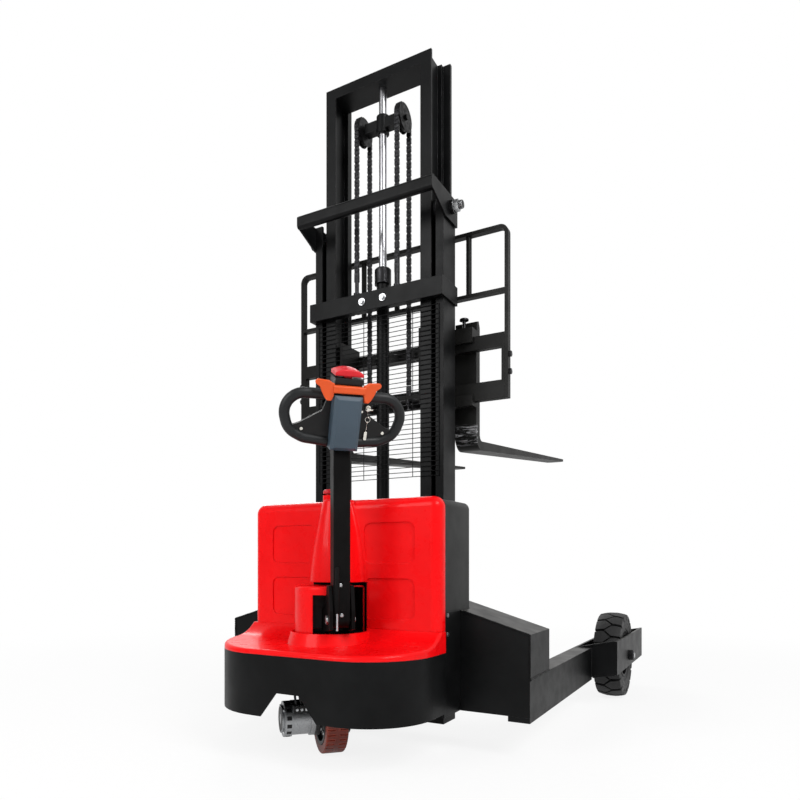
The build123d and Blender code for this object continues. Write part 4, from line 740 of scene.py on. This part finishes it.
def make_chains():
    """Both chains in three pieces: up from the front anchor, over the wheel, down to the carriage."""
    whole = chain_rise + chain_bow + chain_top - chain_rear
    runs = {"front": [], "bow": [], "rear": []}
    for i in range(int(whole / chain_pitch)):
        start = i * chain_pitch
        middle = start + chain_pitch / 2
        run = "front" if middle < chain_rise else "bow" if middle < chain_rise + chain_bow else "rear"
        leaves = inner_leaves if i % 2 else outer_leaves
        for x in (-chain_x, chain_x):
            runs[run].append(link(x, chain_place(start), chain_place(start + chain_pitch), leaves))
    bow_piece = piece("chain_bow", merged(runs["bow"]), "inner_mast", "dark_steel")
    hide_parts("lift_chains")
    for end, body, foot in (("front", "chassis", chain_front), ("rear", "carriage", chain_rear)):
        straight = piece(f"chain_{end}", merged(runs[end]), None, "dark_steel")
        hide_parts("lift_chains")
        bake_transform(straight)


# Wire guard on the mast

mesh_low = 977
mesh_high = 1613
mesh_half = 270
mesh_rows = 36
mesh_columns = 6
rung_y = 319.5
upright_y = 317.2
wire = 1.5
wire_r = wire / 1000


def make_mesh():
    """Round wires, the uprights welded in front of the rungs."""
    shapes = []
    for i in range(mesh_rows):
        z = mesh_low + wire + i * (mesh_high - mesh_low - 2 * wire) / (mesh_rows - 1)
        shapes.append(tube([at(-mesh_half, rung_y, z), at(mesh_half, rung_y, z)], wire_r))
    for i in range(mesh_columns):
        x = -mesh_half + wire + i * (2 * mesh_half - 2 * wire) / (mesh_columns - 1)
        shapes.append(tube([at(x, upright_y, mesh_low), at(x, upright_y, mesh_high)], wire_r))
    guard = piece("guard_wires", merged(shapes), "chassis", "mesh_wire")
    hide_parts("mesh_guard")


# Drive unit details

motor_z = 125
motor_ring = (-164, -138)
motor_end = -172
motor_screws = 4
motor_screw_r = 53
cap_ring = [(0, 0.018), (0.0006, 0.018), (0.0006, 0.042), (0, 0.042)]
cover_in = 58.5
cover_out = 61.5
cover_turns = [8 + 8.8 * i for i in range(13)]
cover_start = -77
lid = [(-58.6, 152), (-58.6, 176), (-55, 179.6), (-32, 179.6), (-29.4, 177), (-29.4, 152)]
lid_start = -79
lid_face = -58.6
lug_z = 165
slot_count = 14
slot_in = 57.0
slot_out = 60.4
slot_half = 6.5
slot_steps = 3
hub_bolts = 5
hub_bolt_r = 60
hub_face = 23.5


def make_motor():
    """The motor's black cover, black strips of painted shade in its cooling slots, cable lugs and the bolts of
    its end ring.
    """
    saddle = [on_circle(cover_in, turn) for turn in reversed(cover_turns)]
    saddle += [on_circle(cover_out, turn) for turn in cover_turns]

    def around(a, b, c):
        return steered(c, a, motor_z + b)

    cover = merged([prism(saddle, around, cover_start, motor_ring[1] + 0.5),
                    prism([(y, z - motor_z) for y, z in lid], around, lid_start, motor_ring[1] + 0.4)])
    piece("motor_cover", cover, "steering", "head_black", bevel=0.0012)
    # Black strips of painted shade where the cooling slots open in the end ring, then the black end cap
    slot_shade_and_cap = []
    for i in range(slot_count):
        middle = 360 * (i + 0.5) / slot_count
        outline = []
        for reach, hand in ((slot_out, 1), (slot_in, -1)):
            for k in range(slot_steps + 1):
                outline.append(on_circle(reach, middle + (-slot_half + 2 * slot_half * k / slot_steps) * hand))
        slot_shade_and_cap.append(prism(outline, around, motor_ring[0] + 6, motor_ring[1] - 4))
    slot_shade_and_cap.append(lathe(cap_ring, steered(motor_end, 0, motor_z), heading(-1, 0, 0), 48))
    piece("motor_slots", merged(slot_shade_and_cap), "steering", "head_black")
    bits = []
    for step in cable_steps:
        x = terminal_x + terminal_pitch * step
        bits.append(bolt(steered(x, lid_face, lug_z), heading(0, -1, 0), 0.0065, 0.004, washer=0.0050))
    for i in range(motor_screws):
        y, z = on_circle(motor_screw_r, 45 + 90 * i)
        bits.append(bolt(steered(motor_ring[0], y, motor_z + z), heading(-1, 0, 0), 0.008, 0.005))
    piece("motor_screws", merged(bits), "steering", "bolt_steel")


def make_hub_bolts():
    """Wheel bolts on both dished faces of the drive wheel's hub."""
    bits = []
    for face in (-1, 1):
        for i in range(hub_bolts):
            angle = 2 * math.pi * (i + 0.25) / hub_bolts
            y = hub_bolt_r * math.cos(angle)
            z = motor_z + hub_bolt_r * math.sin(angle)
            bits.append(bolt(steered(face * hub_face, y, z), heading(face, 0, 0), 0.016, 0.009, washer=0.0125))
    piece("hub_bolts", merged(bits), "drive_wheel", "bolt_steel")


# Tiller details

arm_face = -176
arm_bolts = ((-6, 583), (-2, 486))
strut_u = -19
strut_low = 437
strut_middle = 492
strut_high = 640
strut_rod_r = 0.0035
strut_r = 0.0072
strut_nose_r = 0.0055
cup_bore = 116
cup_middle = 107
cup_spread = 115
cup_low = 418
cup_high = 569
# Black sheets of painted shade in the hollow behind the cup and inside the cup
shade_sheet_r = 126.8
shade_sheet_chord = 60
shade_sheet_low = 429
shade_sheet_high = 587
shade_sheet_t = 1.0
shade_sheet_gap = 0.4
shade_sheet_steps = 32


def shell_outline(radius, middle, spread):
    """A thin wall on a circle, spread degrees each way from its middle."""
    outline = []
    for reach, hand in ((radius, 1), (radius - shade_sheet_t, -1)):
        for i in range(shade_sheet_steps + 1):
            outline.append(on_circle(reach, middle + hand * spread * (2 * i / shade_sheet_steps - 1)))
    return outline


def make_shade_sheets():
    """Black sheets of painted shade inside the hollow behind the tiller's cup, and inside the cup."""
    spread = math.degrees(math.acos(shade_sheet_chord / shade_sheet_r))
    hollow = prism(shell_outline(shade_sheet_r, 90, spread), at, shade_sheet_low, shade_sheet_high)
    piece("hollow_lining", hollow, "chassis", "head_black")
    cup = prism(shell_outline(cup_bore - shade_sheet_gap, cup_middle, cup_spread), steered, cup_low, cup_high)
    piece("cup_lining", cup, "steering", "head_black")


def make_tiller_bits():
    """The return strut in front of the arm and the bolts of the arm's foot."""
    low = steered(strut_u, arm_face - 8, strut_low)
    middle = steered(strut_u, arm_face - 9, strut_middle)
    high = steered(strut_u, arm_face - 10, strut_high)
    piece("strut_rod", tube([low, middle + (middle - low) * 0.1], strut_rod_r, 16), "tiller", "rod_chrome")
    axis = high - middle
    length = axis.length
    barrel = [(0, 0), (0, strut_nose_r), (0.002, strut_r), (length - 0.003, strut_r), (length, strut_nose_r),
              (length, 0)]
    piece("strut_barrel", lathe(barrel, middle, axis, 24), "tiller", "tiller_black")
    bits = [bolt(steered(x, arm_face, z), heading(0, -1, 0), 0.008, 0.005, washer=0.006) for x, z in arm_bolts]
    piece("tiller_bolts", merged(bits), "tiller", "bolt_steel")


# Key fob, placed on the tiller's head

key_u = 75
ring_v = 98
ring_n = 16
ring_r = 8
ring_points = 27
ring_turn = 14.4
ring_rise = 0.07
ring_wire_r = 0.0011
bead = [(-0.0013, 0), (-0.0010, 0.0009), (0, 0.0013), (0.0010, 0.0009), (0.0013, 0)]
bead_pitch = 2.8
bead_runs = ((122, 107, 9, 17), (89, 58, 15, 10))
tag_v = 43
tag_n = 9
tag_half_t = 1.2


def make_key_fob():
    """A split ring under the key, with a bead chain and a plain metal tag."""
    ring = []
    for i in range(ring_points):
        u, v = on_circle(ring_r, 90 + ring_turn * i)
        ring.append(on_head(key_u + u, ring_v + v, ring_n + ring_rise * i))
    shapes = [tube(ring, ring_wire_r)]
    for top, foot, near, far in bead_runs:
        count = int((top - foot) / bead_pitch)
        for i in range(count):
            share = i / (count - 1)
            centre = on_head(key_u, top + (foot - top) * share, near + (far - near) * share)
            shapes.append(lathe(bead, centre, (0, 0, 1), 8))

    def place(a, b, c):
        return on_head(key_u + a, tag_v + b, tag_n + c)

    shapes.append(prism(rounded_box(5, 14, 3), place, -tag_half_t, tag_half_t))
    piece("key_fob", merged(shapes), "tiller", "key_metal", bevel=0.0004, sharp=40)


# Studs and axle ends

axle_y = joints["load_wheel_right_spin"]["pos_m"][1]
axle_z = joints["load_wheel_right_spin"]["pos_m"][2]
axle_seat = 0.749
axle_end_r = 0.0125
stud_z = 1.985
stud_seat = 0.294
stud_nut = 0.326
stud_r = 0.015
thread_count = 6
thread_pitch = 0.0022
turned_steps = 40
axle_ring = [(0, axle_end_r), (0, 0.0247), (0.017, 0.0247), (0.021, 0.0215), (0.021, axle_end_r)]
stud_collar = [(0, stud_r), (0, 0.0250), (0.0125, 0.0250), (0.0140, 0.0236), (0.0140, stud_r)]


def threaded_end():
    """The profile of a stud's end beyond its nut."""
    profile = [(0, 0), (0, stud_r)]
    for i in range(thread_count):
        profile.append((0.0010 + thread_pitch * i, stud_r + 0.0006))
        profile.append((0.0021 + thread_pitch * i, stud_r - 0.0002))
    return profile + [(0.0146, stud_r - 0.002), (0.0146, 0)]


def make_stud_dress():
    """Black collars and ends on the roller studs at the guard bar, black rings on the load axles' ends."""
    shapes = []
    for hand in (-1, 1):
        out = (hand, 0, 0)
        shapes.append(lathe(axle_ring, (hand * axle_seat, axle_y, axle_z), out, turned_steps))
        shapes.append(lathe(stud_collar, (hand * stud_seat, chain_y, stud_z), out, turned_steps))
        shapes.append(lathe(threaded_end(), (hand * stud_nut, chain_y, stud_z), out, turned_steps))
    piece("stud_dress", merged(shapes), "chassis", "dark_steel")


# Welds

wing_front = 229
wing_end = 465
wing_low = 417
wing_slope = 0.30
wing_root = 402
leg_inner = 562
leg_outer = 637
leg_top = 268
leg_low = 124
pocket_front = 1165
pocket_back = 1175
pocket_out = 749
pocket_plate = 10
pocket_edge_in = (136, 282)
pocket_edge_out = (153, 302)
weld_r = 0.0042
weld_short = 6


def make_welds():
    """The beads that show on the outriggers, legs and wheel pockets."""
    beads = []
    root_top = wing_low + wing_slope * (leg_outer - wing_root)
    for hand in (-1, 1):
        inner = hand * leg_inner
        outer = hand * leg_outer
        seam = hand * (pocket_out - pocket_plate)
        beads.append(weld([at(outer, wing_front + 4, leg_top), at(outer, wing_end, leg_top),
                           at(inner, wing_end, leg_top), at(inner, wing_end, leg_low + 8)], weld_r))
        beads.append(weld([at(hand * wing_root, wing_front, root_top), at(outer, wing_front, wing_low),
                           at(outer, wing_front, leg_top)], weld_r * 0.8))
        beads.append(weld([at(outer, pocket_front, pocket_edge_in[0] + weld_short),
                           at(outer, pocket_front, leg_top)], weld_r))
        beads.append(weld([at(seam, pocket_back, pocket_edge_out[0] + weld_short),
                           at(seam, pocket_back, pocket_edge_out[1] - weld_short)], weld_r))
        for near, far in zip(pocket_edge_in, pocket_edge_out):
            start = at(outer + hand * weld_short, pocket_front, near)
            beads.append(weld([start, at(seam, pocket_front, far)], weld_r))
    piece("weld_beads", merged(beads), "chassis", "black_frame")


# Studio

floor_half = 14.0
floor_glow = 0.86
glossy_floor = 0.50
room_light = 0.36


def make_floor():
    """A pale floor that fades to white away from the object and keeps its shadow."""
    mesh = bpy.data.meshes.new("floor")
    corners = [(a * floor_half, b * floor_half, 0) for a, b in ((-1, -1), (1, -1), (1, 1), (-1, 1))]
    mesh.from_pydata(corners, [], [(0, 1, 2, 3)])
    floor = bpy.data.objects.new("floor", mesh)
    bpy.context.scene.collection.objects.link(floor)
    material, tree, shader = new_material("floor")
    shader.inputs["Roughness"].default_value = 0.9
    speckle = remap(tree, noise(tree, 40.0, 4), 0.3, 0.7, 0.0, 1.0)
    put(tree, shader.inputs["Base Color"], mix(tree, speckle, (0.86, 0.86, 0.86), (0.90, 0.90, 0.90)))
    glow = tree.nodes.new("ShaderNodeEmission")
    blend = tree.nodes.new("ShaderNodeMixShader")
    rays = tree.nodes.new("ShaderNodeLightPath")
    seen = maths(tree, "MAXIMUM", rays.outputs["Is Camera Ray"], rays.outputs["Is Transmission Ray"])
    away = tree.nodes.new("ShaderNodeVectorMath")
    away.operation = "LENGTH"
    tree.links.new(place_of(tree), away.inputs[0])
    seen = maths(tree, "MULTIPLY", seen, remap(tree, away.outputs["Value"], 1.2, 4.5, floor_glow, 1.0))
    shown = maths(tree, "MULTIPLY", rays.outputs["Is Glossy Ray"], glossy_floor)
    put(tree, blend.inputs["Fac"], maths(tree, "MAXIMUM", seen, shown))
    tree.links.new(shader.outputs["BSDF"], blend.inputs[1])
    tree.links.new(glow.outputs["Emission"], blend.inputs[2])
    output = next(n for n in tree.nodes if n.type == "OUTPUT_MATERIAL")
    tree.links.new(blend.outputs["Shader"], output.inputs["Surface"])
    mesh.materials.append(material)


def make_world():
    """White where it is seen, a soft even light where it is not."""
    world = bpy.data.worlds.new("studio")
    world.use_nodes = True
    tree = world.node_tree
    back = next(n for n in tree.nodes if n.type == "BACKGROUND")
    back.inputs["Color"].default_value = (1, 1, 1, 1)
    rays = tree.nodes.new("ShaderNodeLightPath")
    seen = maths(tree, "MAXIMUM", rays.outputs["Is Camera Ray"], rays.outputs["Is Transmission Ray"])
    place = tree.nodes.new("ShaderNodeTexCoord")
    split = tree.nodes.new("ShaderNodeSeparateXYZ")
    tree.links.new(place.outputs["Generated"], split.inputs["Vector"])
    backdrop = remap(tree, split.outputs["Y"], -0.6, 0.3, 0.12, 1.0)
    lit = maths(tree, "MULTIPLY", rays.outputs["Is Glossy Ray"], backdrop)
    seen = maths(tree, "MAXIMUM", seen, lit)
    put(tree, back.inputs["Strength"], maths(tree, "MAXIMUM", seen, room_light))
    bpy.context.scene.world = world


def lamp(name, place, target, size, watts):
    """A square soft light, aimed at a point."""
    data = bpy.data.lights.new(name, "AREA")
    data.size = size
    data.energy = watts
    light = bpy.data.objects.new(name, data)
    light.location = place
    light.rotation_euler = (Vector(target) - Vector(place)).to_track_quat("-Z", "Y").to_euler()
    bpy.context.scene.collection.objects.link(light)


def make_lights():
    """A main light from the right, a weaker one in front and one behind."""
    lamp("key", (4.2, -2.4, 4.4), (0, -0.3, 1.0), 2.6, 240)
    lamp("front", (-1.6, -5.2, 3.2), (0, -0.5, 1.0), 3.0, 150)
    lamp("back", (-3.6, 3.6, 4.2), (0, 0, 1.2), 2.6, 120)


bpy.context.scene.view_settings.view_transform = "Standard"
make_camera()
make_cables()
make_world()
make_floor()
make_lights()
finish_nodes()
make_tyres()
make_chains()
make_mesh()
make_motor()
make_hub_bolts()
make_shade_sheets()
make_tiller_bits()
make_key_fob()
make_stud_dress()
make_welds()
